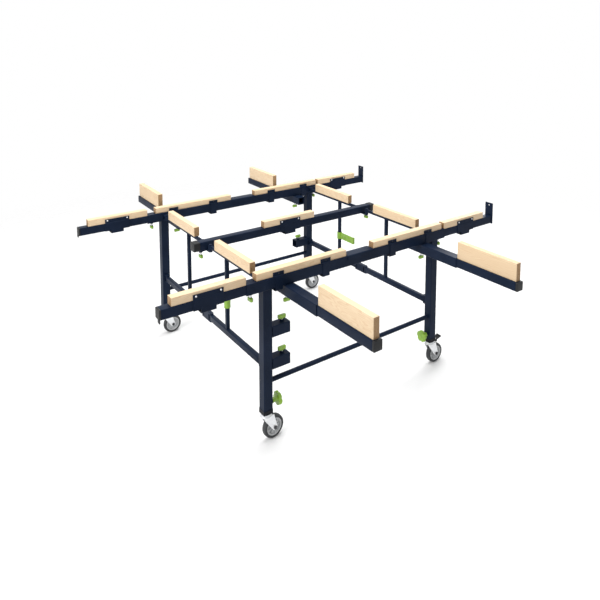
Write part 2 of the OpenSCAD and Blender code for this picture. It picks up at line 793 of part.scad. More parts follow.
// Link between two gate halves: an upper plate that carries the centre beam, a lower block
module hinge_link(hand) {
  color(steel) translate([hand * leg_x, 0, 0]) mirror([hand == left ? 1 : 0, 0, 0]) {
    difference() {
      union() {
        link_plate(link_plate_base, link_plate_t);
        translate([0, -saddle_w / 2, link_plate_base]) cube([saddle_out, saddle_w, link_plate_t]);
      }
      translate([centre_lock_out, 0, link_plate_base]) screw_hole(link_plate_t);
    }
    translate([centre_lock_out, 0, link_plate_base]) boss();
    for (s = [-1, 1]) translate([0, s * link_pin_out, 0]) {
      translate([0, 0, link_plate_base]) cylinder(r = pin_r, h = bar_top + knuckle_gap + cut - link_plate_base);
      translate([0, 0, bar_top + knuckle_gap]) cylinder(r = pin_head_r, h = pin_head_h);
    }
    lower_block();
  }
}

// Flat plate of a link, rounded about its two pins
module link_plate(base_z, t) {
  translate([-knuckle_r, -link_pin_out, base_z]) cube([2 * knuckle_r, 2 * link_pin_out, t]);
  for (s = [-1, 1]) translate([0, s * link_pin_out, base_z]) cylinder(r = knuckle_r, h = t);
}

// Lower block of a link: two plates on a web, with the two pins between them
module lower_block() {
  block_base = lower_bar_z - knuckle_gap - lug_t;
  block_h = lower_bar_h + 2 * (knuckle_gap + lug_t);
  link_plate(block_base, lug_t);
  link_plate(block_base + block_h - lug_t, lug_t);
  translate([-knuckle_r, -link_web_half, block_base])
    cube([2 * knuckle_r, 2 * link_web_half, block_h]);
  for (s = [-1, 1]) translate([0, s * link_pin_out, block_base]) cylinder(r = pin_r, h = block_h);
}

// Knob under a link's upper plate, which locks the centre beam
module centre_knob(hand) {
  translate([hand * (leg_x + centre_lock_out), 0, link_plate_base - boss_h - knob_gap])
    rotate(90) wing_knob(boss_h + link_plate_t + knob_gap);
}

// Centre beam with its two end blocks and wide clamp
module centre_beam() {
  color(steel) translate([-centre_half, 0, centre_base + centre_w / 2])
    along_x() square_tube(2 * centre_half, centre_w, slider_wall);
  block_w = centre_w + 2 * block_proud;
  color(black) for (s = [left, right])
    translate([s * (centre_half + seat + end_block_len / 2), 0, centre_base + centre_w / 2])
      cube([end_block_len, block_w, centre_w + block_proud], center = true);
  translate([-centre_clamp_x, 0, 0]) wide_clamp(centre_w / 2, centre_top);
}

// Wood strip on the centre beam
module centre_wood_strip() {
  color(wood) translate([-centre_clamp_x - centre_strip_len / 2, -strip_w / 2, centre_top + seat])
    cube([centre_strip_len, strip_w, table_h - centre_top - seat]);
}

// Latch that clips on a gate's upright bar, built with its bar on the origin, reaching along +Y
module latch() {
  grip = upright_w / 2 * sqrt(2) + slide_gap;
  color(green) translate([0, 0, latch_z]) {
    difference() {
      cylinder(r = latch_grip_r, h = latch_h);
      translate([0, 0, -cut]) cylinder(r = grip, h = latch_h + 2 * cut);
    }
    translate([-latch_t / 2, (grip + latch_grip_r) / 2, 0]) cube([latch_t, latch_len - (grip + latch_grip_r) / 2, latch_h]);
    translate([-latch_hook, latch_len - latch_t, 0]) cube([latch_hook, latch_t, latch_h]);
  }
}

beam(front);  // front_beam
beam(rear);  // rear_beam
union() {  // front_left_leg
  leg(front, left, true);
  lower_rail(front);
}
leg(front, right, false);  // front_right_leg
leg(rear, left, false);  // rear_left_leg
union() {  // rear_right_leg
  leg(rear, right, true);
  lower_rail(rear);
}
wood_strips(front);  // front_wood_strips
wood_strips(rear);  // rear_wood_strips
strip_clamps(front);  // front_strip_clamps
strip_clamps(rear);  // rear_strip_clamps
storage_knob(front, left, upper_socket_z);  // front_upper_storage_knob
storage_knob(front, left, lower_socket_z);  // front_lower_storage_knob
storage_knob(rear, right, upper_socket_z);  // rear_upper_storage_knob
storage_knob(rear, right, lower_socket_z);  // rear_lower_storage_knob
extension(front, left);  // front_left_extension
extension(front, right);  // front_right_extension
extension(rear, left);  // rear_left_extension
extension(rear, right);  // rear_right_extension
extension_knob(front, left);  // front_left_extension_knob
extension_knob(front, right);  // front_right_extension_knob
extension_knob(rear, left);  // rear_left_extension_knob
extension_knob(rear, right);  // rear_right_extension_knob
outrigger(front, left);  // front_left_outrigger
outrigger(front, right);  // front_right_outrigger
outrigger(rear, left);  // rear_left_outrigger
outrigger(rear, right);  // rear_right_outrigger
outrigger_knob(front, left);  // front_left_outrigger_knob
outrigger_knob(front, right);  // front_right_outrigger_knob
outrigger_knob(rear, left);  // rear_left_outrigger_knob
outrigger_knob(rear, right);  // rear_right_outrigger_knob
foot_knob(front, left);  // front_left_foot_knob
foot_knob(front, right);  // front_right_foot_knob
foot_knob(rear, left);  // rear_left_foot_knob
foot_knob(rear, right);  // rear_right_foot_knob
foot_tube(front, left);  // front_left_foot_tube
foot_tube(front, right);  // front_right_foot_tube
foot_tube(rear, left);  // rear_left_foot_tube
foot_tube(rear, right);  // rear_right_foot_tube
caster_fork(front, left, false);  // front_left_caster_fork
caster_fork(front, right, true);  // front_right_caster_fork
caster_fork(rear, left, true);  // rear_left_caster_fork
caster_fork(rear, right, false);  // rear_right_caster_fork
wheel(front, left);  // front_left_wheel
wheel(front, right);  // front_right_wheel
wheel(rear, left);  // rear_left_wheel
wheel(rear, right);  // rear_right_wheel
brake_pedal(front, right);  // front_right_brake_pedal
brake_pedal(rear, left);  // rear_left_brake_pedal
in_gate(front, left) gate_half(pin_gap);  // left_gate_front_half
in_gate(rear, left) gate_half(pin_gap);  // left_gate_rear_half
in_gate(front, right) gate_half(pin_gap);  // right_gate_front_half
in_gate(rear, right) gate_half(closing_gap);  // right_gate_rear_half
hinge_link(left);  // left_hinge_link
hinge_link(right);  // right_hinge_link
centre_knob(left);  // left_centre_knob
centre_knob(right);  // right_centre_knob
centre_beam();
centre_wood_strip();
translate([-leg_x, -upright_y, 0]) rotate(-left_latch_angle) latch();  // left_gate_latch
translate([leg_x, upright_y, 0]) rotate(180) latch();  // right_gate_latch
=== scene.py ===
# %% [markdown]
# # A wheeled saw table of steel tube and pine
# The table stands on two side frames that roll on swivel casters. Two folding gates and a
# lift-off centre beam join them, and pine strips carry the work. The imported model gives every
# size and place. The lesson turns it into painted tube, planed pine, moulded green knobs,
# zinc-plated forks and grey rubber, with numpy surfaces and procedural materials.

# %% Load the fixed frame
import math

import bpy
import numpy as np
from mathutils import Matrix, Vector


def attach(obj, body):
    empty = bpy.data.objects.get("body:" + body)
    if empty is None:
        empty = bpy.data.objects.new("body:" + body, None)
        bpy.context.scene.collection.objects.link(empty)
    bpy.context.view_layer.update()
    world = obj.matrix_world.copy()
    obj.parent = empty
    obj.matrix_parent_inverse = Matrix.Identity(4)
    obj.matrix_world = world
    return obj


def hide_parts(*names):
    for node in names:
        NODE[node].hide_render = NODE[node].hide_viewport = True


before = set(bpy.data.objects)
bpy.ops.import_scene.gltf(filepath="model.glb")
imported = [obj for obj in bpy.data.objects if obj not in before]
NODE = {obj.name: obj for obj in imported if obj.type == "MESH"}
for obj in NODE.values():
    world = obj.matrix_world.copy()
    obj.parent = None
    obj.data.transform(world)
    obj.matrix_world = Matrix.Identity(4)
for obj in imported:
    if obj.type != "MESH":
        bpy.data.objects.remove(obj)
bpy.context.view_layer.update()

# %% [markdown]
# ## Surfaces as rings
# Nearly every piece of this table is a bar: a closed outline carried along a straight line, from
# square tube to knob. A modelling program would extrude the outline and bevel its ends. Here
# the rings are worked out as one numpy array, so that a rounded end is only a few more rings.
# A solid is a small dictionary: its points, its faces, the finish of each face, and the
# points' places before the solid is turned into position, which the wood grain needs.

# %% A solid from a stack of rings
def ring_quads(rows, columns, loop=False):
    """Faces of a grid of rings: point j of ring i is joined with its neighbour j + 1 and with ring i + 1."""
    i = np.arange(rows if loop else rows - 1)[:, None]
    j = np.arange(columns)[None, :]
    k = (j + 1) % columns
    n = (i + 1) % rows
    quads = np.stack([i * columns + j, i * columns + k, n * columns + k, n * columns + j], -1)
    return quads.reshape(-1, 4)


def loft(rings, finish, end_finish=None, loop=False):
    """Skin over rings (m, n, 3) that run anticlockwise about +Z and climb along +Z.
    With loop the last ring joins the first, as in a hollow tube; otherwise both ends are closed."""
    rings = np.asarray(rings, float)
    m, n = rings.shape[:2]
    faces = ring_quads(m, n, loop).tolist()
    names = [finish] * len(faces)
    if not loop:
        faces += [list(range(n))[::-1], list(range((m - 1) * n, m * n))]
        names += [end_finish or finish] * 2
    points = rings.reshape(-1, 3)
    return {"points": points, "faces": faces, "finish": names, "own": points.copy()}


print("a cube as rings has", len(loft(np.zeros((2, 4, 3)), "steel")["faces"]), "faces")

# %% Outlines, each with an inset that draws it in evenly
def square_outline(width, height, corner, inset=0.0, steps=4):
    """Rectangle with quarter-circle corners: corner centre plus radius times (cos a, sin a)."""
    radius = max(corner - inset, 0.05)
    half_w = width / 2 - inset - radius
    half_h = height / 2 - inset - radius
    a = np.linspace(0, math.pi / 2, steps + 1)
    quarter = np.stack([np.cos(a), np.sin(a)], 1) * radius
    parts = []
    for i, (sx, sy) in enumerate(((1, 1), (-1, 1), (-1, -1), (1, -1))):
        c, s = math.cos(i * math.pi / 2), math.sin(i * math.pi / 2)
        turned = quarter @ np.array([[c, s], [-s, c]])
        parts.append(turned + [sx * half_w, sy * half_h])
    return np.concatenate(parts)


def round_outline(radius, inset=0.0, steps=32):
    """Circle: (radius - inset) times (cos a, sin a)."""
    a = np.arange(steps) * 2 * math.pi / steps
    return np.stack([np.cos(a), np.sin(a)], 1) * (radius - inset)


def star_outline(radius, depth, lobes, inset=0.0, steps=90):
    """Circle whose radius dips by depth between the lobes, as a rounded cosine to the power four."""
    a = np.arange(steps) * 2 * math.pi / steps
    dip = (0.5 - 0.5 * np.cos(lobes * a)) ** 4
    r = radius - inset - depth * dip
    return np.stack([np.cos(a) * r, np.sin(a) * r], 1)


def wing_outline(length, width, waist, inset=0.0, steps=48):
    """Two rounded wings: half width grows from waist in the middle to width near each tip."""
    a = np.arange(steps) * 2 * math.pi / steps
    x = np.cos(a)
    y = np.sign(np.sin(a)) * np.abs(np.sin(a)) ** 0.55
    half = waist / 2 + (width - waist) / 2 * np.abs(x) ** 1.2
    return np.stack([x * (length / 2 - inset), y * np.maximum(half - inset, 0.1)], 1)


def plate_outline(points, corner, inset=0.0, steps=5):
    """Polygon (anticlockwise) with each corner rounded: the arc's points slide along a
    quadratic curve from one edge to the next, and the whole is moved in by inset along its normals."""
    points = np.asarray(points, float)
    before = np.roll(points, 1, axis=0) - points
    after = np.roll(points, -1, axis=0) - points
    len_b = np.linalg.norm(before, axis=1, keepdims=True)
    len_a = np.linalg.norm(after, axis=1, keepdims=True)
    reach_b = np.minimum(corner, len_b * 0.45)
    reach_a = np.minimum(corner, len_a * 0.45)
    start = points + before / len_b * reach_b
    end = points + after / len_a * reach_a
    t = np.linspace(0, 1, steps + 1)[None, :, None]
    curve = (1 - t) ** 2 * start[:, None] + 2 * t * (1 - t) * points[:, None] + t**2 * end[:, None]
    outline = curve.reshape(-1, 2)
    if inset:
        along = np.roll(outline, -1, axis=0) - np.roll(outline, 1, axis=0)
        along /= np.maximum(np.linalg.norm(along, axis=1, keepdims=True), 1e-9)
        outline = outline + np.stack([-along[:, 1], along[:, 0]], 1) * inset
    return outline


print("square outline:", square_outline(45, 45, 3).shape, "star outline:", star_outline(29, 6, 5).shape)

# %% Bars, tubes and turned pieces, all standing on z = 0
def level(outline, z):
    """One ring: the outline at height z."""
    return np.column_stack([outline, np.full(len(outline), z)])


def bar(shape, length, finish, edge=1.0, end_finish=None, steps=3):
    """Solid bar. Near each end the outline is drawn in by edge times (1 - sin a) while the height
    follows edge times (1 - cos a), so that a from 0 to 90 degrees makes a quarter-round edge."""
    a = np.linspace(0, math.pi / 2, steps + 1)
    inset, rise = edge * (1 - np.sin(a)), edge * (1 - np.cos(a))
    low = [level(shape(d), h) for d, h in zip(inset, rise)]
    high = [level(shape(d), length - h) for d, h in zip(inset[::-1], rise[::-1])]
    return loft(low + high, finish, end_finish)


def tube(shape, wall, length, finish, edge=0.4):
    """Hollow bar: up the outside, over the rim, down the inside and back, as one loop of rings."""
    rings = [
        level(shape(edge), 0), level(shape(0), edge), level(shape(0), length - edge),
        level(shape(edge), length), level(shape(wall - edge), length),
        level(shape(wall), length - edge), level(shape(wall), edge), level(shape(wall - edge), 0)]
    return loft(rings, finish, loop=True)


def turned(profile, finish, steps=32):
    """Surface of revolution: each (radius, height) of the profile becomes a circle."""
    return loft([level(round_outline(r, steps=steps), z) for r, z in profile], finish)


def turned_ring(profile, finish, steps=48):
    """Closed ring of revolution: the profile is a loop of (radius, height), so it has no end caps."""
    return loft([level(round_outline(r, steps=steps), z) for r, z in profile], finish, loop=True)


print("a knob neck has", len(turned([(7.5, 0), (7.5, 7)], "lime")["faces"]), "faces")

# %% [markdown]
# ## Putting solids in place
# A finished object sits at the origin with its place in its mesh, so a solid is turned and moved
# as an array of points. A mirrored copy is inside out, so its faces are read backwards.

# %% Turning, moving, mirroring and joining
AXES = {
    "z": np.eye(3),
    "x": np.array([[0, 0, 1], [0, 1, 0], [-1, 0, 0]], float),
    "y": np.array([[1, 0, 0], [0, 0, 1], [0, -1, 0]], float),
    "-z": np.diag([1.0, -1.0, -1.0]),
    "-x": np.array([[0, 0, -1], [0, 1, 0], [1, 0, 0]], float),
    "-y": np.array([[1, 0, 0], [0, 0, -1], [0, 1, 0]], float),
}


def stand(solid, along="z", at=(0, 0, 0), turn=0.0):
    """Turns a solid about its own Z by turn degrees, points its Z along an axis, then moves it."""
    c, s = math.cos(math.radians(turn)), math.sin(math.radians(turn))
    spin = np.array([[c, -s, 0], [s, c, 0], [0, 0, 1]])
    points = solid["points"] @ spin.T @ AXES[along].T + np.array(at, float)
    return {**solid, "points": points}


def moved(solid, matrix, at=(0, 0, 0)):
    """Points times a 3 by 3 matrix, plus a shift."""
    return {**solid, "points": solid["points"] @ np.asarray(matrix, float).T + np.array(at, float)}


def mirrored(solid, axis):
    """Mirror image across the plane through the origin; the faces are read backwards."""
    points = solid["points"].copy()
    points[:, axis] *= -1
    return {**solid, "points": points, "faces": [f[::-1] for f in solid["faces"]]}


def about_z(degrees):
    """Matrix that turns by degrees about +Z."""
    c, s = math.cos(math.radians(degrees)), math.sin(math.radians(degrees))
    return np.array([[c, -s, 0], [s, c, 0], [0, 0, 1]])


for name, m in AXES.items():
    assert abs(np.linalg.det(m) - 1) < 1e-9, name
print("axes:", sorted(AXES))

# %% [markdown]
# ## Finishes
# Each finish is a Principled shader fed by small shared effects: a mottle that shifts a colour
# a little, an orange-peel or grain bump, and a wear mask. They read Object coordinates, so they
# stay on the piece when it moves. Only the pine reads an attribute, "grain", which holds each
# board's own length, width and height, so that the rings run along every board.

# %% Shared effects as node groups
def new_group(name, inputs, outputs):
    """Node group with named sockets; inputs are (name, type, value), outputs (name, type)."""
    group = bpy.data.node_groups.new(name, "ShaderNodeTree")
    for label, kind, value in inputs:
        socket = group.interface.new_socket(label, in_out="INPUT", socket_type=kind)
        if value is not None:
            socket.default_value = value
    for label, kind in outputs:
        group.interface.new_socket(label, in_out="OUTPUT", socket_type=kind)
    return group, group.nodes.new("NodeGroupInput"), group.nodes.new("NodeGroupOutput")


def feed(tree, socket, value):
    """Links an input to another node's output, or sets it to a number or a colour."""
    if isinstance(value, bpy.types.NodeSocket):
        tree.links.new(value, socket)
    else:
        socket.default_value = (*value, 1.0) if isinstance(value, tuple) else value


def noise(tree, vector, scale, detail=3.0, rough=0.55, stretch=None):
    """Noise of the given scale on a vector, stretched first if asked; returns its value socket."""
    if stretch:
        mapping = tree.nodes.new("ShaderNodeMapping")
        mapping.inputs["Scale"].default_value = stretch
        tree.links.new(vector, mapping.inputs["Vector"])
        vector = mapping.outputs["Vector"]
    node = tree.nodes.new("ShaderNodeTexNoise")
    for label, value in (("Vector", vector), ("Scale", scale), ("Detail", detail), ("Roughness", rough)):
        feed(tree, node.inputs[label], value)
    return node.outputs["Fac"]


def spread(tree, value, low, high, to_low=0.0, to_high=1.0):
    """Maps low..high of a value to to_low..to_high, held at both ends."""
    node = tree.nodes.new("ShaderNodeMapRange")
    tree.links.new(value, node.inputs["Value"])
    for label, number in (("From Min", low), ("From Max", high), ("To Min", to_low), ("To Max", to_high)):
        node.inputs[label].default_value = number
    return node.outputs["Result"]


def math_node(tree, operation, first, second):
    """One step of arithmetic on two sockets or numbers."""
    node = tree.nodes.new("ShaderNodeMath")
    node.operation = operation
    feed(tree, node.inputs[0], first)
    feed(tree, node.inputs[1], second)
    return node.outputs[0]


def mix_colour(tree, factor, first, second):
    """Blends two colours, each a socket or a value, by a factor socket."""
    node = tree.nodes.new("ShaderNodeMix")
    node.data_type = "RGBA"
    for index, value in ((0, factor), (6, first), (7, second)):
        feed(tree, node.inputs[index], value)
    return node.outputs[2]


mottle, g_in, g_out = new_group(
    "moulded_skin",
    [("Vector", "NodeSocketVector", None), ("Colour", "NodeSocketColor", (0.5, 0.5, 0.5, 1)),
     ("Deep Colour", "NodeSocketColor", (0.4, 0.4, 0.4, 1)), ("Cloud Scale", "NodeSocketFloat", 12.0),
     ("Grain Scale", "NodeSocketFloat", 900.0), ("Roughness", "NodeSocketFloat", 0.45),
     ("Roughness Spread", "NodeSocketFloat", 0.12)],
    [("Colour", "NodeSocketColor"), ("Roughness", "NodeSocketFloat"), ("Height", "NodeSocketFloat")])
cloud = noise(mottle, g_in.outputs["Vector"], g_in.outputs["Cloud Scale"], 4.0, 0.5)
fine = noise(mottle, g_in.outputs["Vector"], g_in.outputs["Grain Scale"], 2.0, 0.5)
clouded = mix_colour(mottle, spread(mottle, cloud, 0.35, 0.65), g_in.outputs["Colour"],
                     g_in.outputs["Deep Colour"])
swing = math_node(mottle, "MULTIPLY", math_node(mottle, "SUBTRACT", cloud, 0.5),
                  g_in.outputs["Roughness Spread"])
mottle.links.new(clouded, g_out.inputs["Colour"])
mottle.links.new(math_node(mottle, "ADD", swing, g_in.outputs["Roughness"]), g_out.inputs["Roughness"])
mottle.links.new(fine, g_out.inputs["Height"])

wear, w_in, w_out = new_group(
    "scuff_marks",
    [("Vector", "NodeSocketVector", None), ("Amount", "NodeSocketFloat", 0.5)],
    [("Mask", "NodeSocketFloat")])
streak = noise(wear, w_in.outputs["Vector"], 38.0, 5.0, 0.7, stretch=(1.0, 1.0, 0.35))
speck = noise(wear, w_in.outputs["Vector"], 260.0, 2.0, 0.5)
joined = math_node(wear, "MULTIPLY", spread(wear, streak, 0.60, 0.72), spread(wear, speck, 0.50, 0.62))
wear.links.new(math_node(wear, "MULTIPLY", joined, w_in.outputs["Amount"]), w_out.inputs["Mask"])
print("groups:", [g.name for g in bpy.data.node_groups])

# %% [markdown]
# ## Pine
# A board is sawn from a trunk, so its rings are cylinders about a pith line that lies outside
# the board. The distance from that line, bent by slow noise, goes through a saw-like wave: pale
# early wood climbs to a darker late wood line. The same distance shows as arcs on the end.

# %% The pine grain group
RINGS_PER_METRE = 210.0
EARLY_WOOD, EARLY_PATCH, PALE_BOARD = (0.80, 0.62, 0.41), (0.73, 0.54, 0.34), (0.86, 0.70, 0.50)
LATE_WOOD, FIBRE_LINE = (0.60, 0.36, 0.17), (0.52, 0.32, 0.16)
SAWN_EARLY, SAWN_LATE = (0.44, 0.27, 0.13), (0.22, 0.115, 0.05)

pine_grain, p_in, p_out = new_group(
    "pine_grain",
    [("Vector", "NodeSocketVector", None), ("Tint", "NodeSocketFloat", 0.5)],
    [("Colour", "NodeSocketColor"), ("End Colour", "NodeSocketColor"),
     ("Roughness", "NodeSocketFloat"), ("Height", "NodeSocketFloat")])
split = pine_grain.nodes.new("ShaderNodeSeparateXYZ")
pine_grain.links.new(p_in.outputs["Vector"], split.inputs[0])
slow = noise(pine_grain, p_in.outputs["Vector"], 5.0, 2.0, 0.5, stretch=(6.0, 6.0, 1.0))


def grain_math(operation, first, second):
    """One step of arithmetic inside the pine grain group."""
    return math_node(pine_grain, operation, first, second)


bend = grain_math("MULTIPLY", grain_math("SUBTRACT", slow, 0.5), 0.045)
pith_x = grain_math("ADD", grain_math("MULTIPLY", p_in.outputs["Tint"], 0.07), 0.012)
across = grain_math("ADD", grain_math("ADD", split.outputs["X"], pith_x), bend)
up = grain_math("ADD", grain_math("ADD", split.outputs["Y"], 0.035), bend)
squares = grain_math("ADD", grain_math("MULTIPLY", across, across), grain_math("MULTIPLY", up, up))
distance = grain_math("POWER", squares, 0.5)
ring_phase = grain_math("FRACT", grain_math("MULTIPLY", distance, RINGS_PER_METRE), 0.0)
late_wood = spread(pine_grain, ring_phase, 0.45, 0.98)
fibre = noise(pine_grain, p_in.outputs["Vector"], 900.0, 3.0, 0.6, stretch=(1.0, 1.0, 0.02))
patch = noise(pine_grain, p_in.outputs["Vector"], 9.0, 3.0, 0.5, stretch=(1.0, 1.0, 0.3))
colour = mix_colour(pine_grain, spread(pine_grain, patch, 0.3, 0.7), EARLY_WOOD, EARLY_PATCH)
for amount, tone in (
        (grain_math("MULTIPLY", p_in.outputs["Tint"], 0.45), PALE_BOARD),
        (grain_math("MULTIPLY", late_wood, 0.42), LATE_WOOD),
        (grain_math("MULTIPLY", spread(pine_grain, fibre, 0.42, 0.7), 0.16), FIBRE_LINE)):
    colour = mix_colour(pine_grain, amount, colour, tone)
height = grain_math("ADD", grain_math("MULTIPLY", fibre, 0.6), grain_math("MULTIPLY", late_wood, 0.4))
pine_grain.links.new(colour, p_out.inputs["Colour"])
pine_grain.links.new(mix_colour(pine_grain, late_wood, SAWN_EARLY, SAWN_LATE), p_out.inputs["End Colour"])
pine_grain.links.new(spread(pine_grain, fibre, 0.3, 0.7, 0.52, 0.70), p_out.inputs["Roughness"])
pine_grain.links.new(height, p_out.inputs["Height"])
print("pine sockets:", [s.name for s in p_out.inputs if s.name])

# %% The materials themselves
def start_material(name):
    """New material with its Principled shader; returns the material, its tree and the shader."""
    material = bpy.data.materials.new(name)
    material.use_nodes = True
    tree = material.node_tree
    return material, tree, tree.nodes["Principled BSDF"]


def place_group(tree, group, vector, **values):
    """Puts a shared effect in a material, fed with a vector and its own values."""
    node = tree.nodes.new("ShaderNodeGroup")
    node.node_tree = group
    tree.links.new(vector, node.inputs["Vector"])
    for label, value in values.items():
        node.inputs[label.replace("_", " ")].default_value = value
    return node


def add_bump(tree, shader, height, strength, depth):
    """Feeds a height through a Bump node to the shader's normal."""
    bump = tree.nodes.new("ShaderNodeBump")
    bump.inputs["Strength"].default_value = strength
    bump.inputs["Distance"].default_value = depth
    tree.links.new(height, bump.inputs["Height"])
    tree.links.new(bump.outputs["Normal"], shader.inputs["Normal"])


def skin_material(name, colour, deep, cloud_scale, grain_scale, roughness, swing, bump, depth,
                  metallic=0.0, scuff=0.0, scuff_colour=(0.3, 0.3, 0.3), shine=0.5):
    """Moulded, painted or plated surface: mottled colour, fine bump and a few scuffs."""
    material, tree, shader = start_material(name)
    coords = tree.nodes.new("ShaderNodeTexCoord").outputs["Object"]
    skin = place_group(tree, mottle, coords, Colour=(*colour, 1), Deep_Colour=(*deep, 1),
                       Cloud_Scale=cloud_scale, Grain_Scale=grain_scale,
                       Roughness=roughness, Roughness_Spread=swing)
    base = skin.outputs["Colour"]
    if scuff:
        marks = place_group(tree, wear, coords, Amount=scuff)
        base = mix_colour(tree, marks.outputs["Mask"], base, scuff_colour)
    tree.links.new(base, shader.inputs["Base Color"])
    tree.links.new(skin.outputs["Roughness"], shader.inputs["Roughness"])
    shader.inputs["Metallic"].default_value = metallic
    shader.inputs["Specular IOR Level"].default_value = shine
    add_bump(tree, shader, skin.outputs["Height"], bump, depth)
    return material


def pine_material(name, output, bump):
    """Planed pine, or its sawn end, from the grain group and each board's own attributes."""
    material, tree, shader = start_material(name)
    own = tree.nodes.new("ShaderNodeAttribute")
    own.attribute_name = "grain"
    tint = tree.nodes.new("ShaderNodeAttribute")
    tint.attribute_name = "tint"
    wood = place_group(tree, pine_grain, own.outputs["Vector"])
    tree.links.new(tint.outputs["Fac"], wood.inputs["Tint"])
    tree.links.new(wood.outputs[output], shader.inputs["Base Color"])
    tree.links.new(wood.outputs["Roughness"], shader.inputs["Roughness"])
    add_bump(tree, shader, wood.outputs["Height"], bump, 0.0006)
    return material


FINISH = {
    "steel": skin_material(
        "anthracite_powder_coat", (0.009, 0.017, 0.039), (0.006, 0.012, 0.028), 9.0, 1400.0,
        0.36, 0.18, 0.22, 0.0004, scuff=0.2, scuff_colour=(0.05, 0.06, 0.08), shine=0.07),
    "lime": skin_material(
        "lime_moulded_plastic", (0.26, 0.46, 0.04), (0.19, 0.36, 0.03), 25.0, 1600.0,
        0.28, 0.12, 0.15, 0.0003),
    "zinc": skin_material(
        "zinc_plate", (0.86, 0.87, 0.88), (0.76, 0.77, 0.79), 40.0, 700.0,
        0.36, 0.25, 0.12, 0.0002, metallic=0.6, scuff=0.3, scuff_colour=(0.4, 0.4, 0.42)),
    "black": skin_material(
        "black_moulded_plastic", (0.010, 0.011, 0.013), (0.006, 0.007, 0.008), 30.0, 1500.0,
        0.5, 0.15, 0.25, 0.0003, shine=0.3),
    "rubber": skin_material(
        "grey_tyre_rubber", (0.040, 0.042, 0.045), (0.028, 0.029, 0.032), 30.0, 900.0,
        0.72, 0.15, 0.4, 0.0004, scuff=0.6, scuff_colour=(0.2, 0.19, 0.18)),
    "hub": skin_material(
        "pale_grey_hub_plastic", (0.50, 0.51, 0.52), (0.38, 0.39, 0.40), 30.0, 1100.0,
        0.5, 0.12, 0.2, 0.0003),
    "bolt": skin_material(
        "blackened_bolt_steel", (0.05, 0.05, 0.055), (0.03, 0.03, 0.033), 60.0, 900.0,
        0.38, 0.2, 0.15, 0.0002, metallic=0.6),
    "pine": pine_material("planed_pine", "Colour", 0.25),
    "pine_end": pine_material("sawn_pine_end", "End Colour", 0.5),
}
print("finishes:", sorted(FINISH))

# %% [markdown]
# ## From solids to objects
# One object holds all the solids of one CAD node, which it then stands for. Sizes are written
# in millimetres, as on a drawing, and become metres here. Smooth shading with sharp edges over
# 40 degrees keeps flats flat and arcs round.

# %% Building a piece
METRES = 0.001  # one millimetre
GOLDEN = 0.618034  # steps of this size spread the boards' tints evenly over 0 to 1
count = 0


def piece(name, body, solids, replaces=()):
    """Joins solids into one mesh object in metres, gives it its finishes and lets it ride on a body."""
    global count
    points, faces, finishes, own, tint = [], [], [], [], []
    start = 0
    for k, solid in enumerate(solids):
        n = len(solid["points"])
        points.append(solid["points"])
        own.append(solid["own"])
        tint.append(np.full(n, (count * (1 - GOLDEN) + k * GOLDEN) % 1.0))
        faces += [[v + start for v in f] for f in solid["faces"]]
        finishes += solid["finish"]
        start += n
    points = np.concatenate(points) * METRES
    mesh = bpy.data.meshes.new(name)
    mesh.from_pydata(points, [], faces)
    names = sorted(set(finishes))
    for label in names:
        mesh.materials.append(FINISH[label])
    mesh.polygons.foreach_set("material_index", np.array([names.index(f) for f in finishes], np.int32))
    mesh.polygons.foreach_set("use_smooth", np.ones(len(faces), bool))
    mesh.update()
    mesh.set_sharp_from_angle(angle=math.radians(40))
    grain = mesh.attributes.new("grain", "FLOAT_VECTOR", "POINT")
    grain.data.foreach_set("vector", (np.concatenate(own) * METRES).astype(np.float32).ravel())
    tints = mesh.attributes.new("tint", "FLOAT", "POINT")
    tints.data.foreach_set("value", np.concatenate(tint).astype(np.float32))
    obj = bpy.data.objects.new(name, mesh)
    bpy.context.scene.collection.objects.link(obj)
    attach(obj, body)
    if replaces:
        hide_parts(*replaces)
    count += 1
    return obj


def squared(width, height, corner):
    """Outline maker for a rounded rectangle."""
    return lambda inset=0.0: square_outline(width, height, corner, inset)


print("ready to build")

# %% [markdown]
# ## Pine strips and boards
# The real strips are planed square with the sharp edges just broken. A rounded rectangle is
# carried along the strip's length; its two ends are sawn, so they take the darker end finish.

# %% Strips on the two main beams
TOP, BEAM_TOP, BEAM_LOW = 705.0, 677.0, 632.0
LEG_X, FRAME_Y, HINGE_Y, LINK_Y = 467.0, 525.0, 487.0, 40.0
SIDES = {"front": -1, "rear": 1}
HANDS = {"left": -1, "right": 1}
HALF_STRIP = 17.0


def board(x0, x1, y0, y1, z0, z1):
    """Board with broken edges between two corners; its length is the longer of X and Y."""
    height = z1 - z0
    if x1 - x0 > y1 - y0:
        solid = bar(squared(height, y1 - y0, 1.6), x1 - x0, "pine", 1.2, "pine_end")
        return stand(solid, "x", (x0, (y0 + y1) / 2, (z0 + z1) / 2))
    solid = bar(squared(x1 - x0, height, 1.6), y1 - y0, "pine", 1.2, "pine_end")
    return stand(solid, "y", ((x0 + x1) / 2, y0, (z0 + z1) / 2))


for side, sy in SIDES.items():
    y = sy * FRAME_Y
    strips = [board(x, x + 438, y - HALF_STRIP, y + HALF_STRIP, BEAM_TOP + 0.1, TOP) for x in (-515, 77)]
    piece(f"{side}_wood_strips_pine", f"{side}_frame", strips, [f"{side}_wood_strips"])
strip = board(-169.5, 129.5, -HALF_STRIP, HALF_STRIP, 674.1, TOP)
piece("centre_wood_strip_pine", "centre_beam", [strip], ["centre_wood_strip"])
print("strips done")

# %% [markdown]
# ## Folded sheet clamps
# A clamp is folded from sheet that stands up against the wood on both sides of a beam, with a
# narrower tab down or under the beam. The middle line of each fold is rounded and given thickness:
# its points move half a sheet to both sides, and the closed outline that this makes is carried
# along the clamp's width.

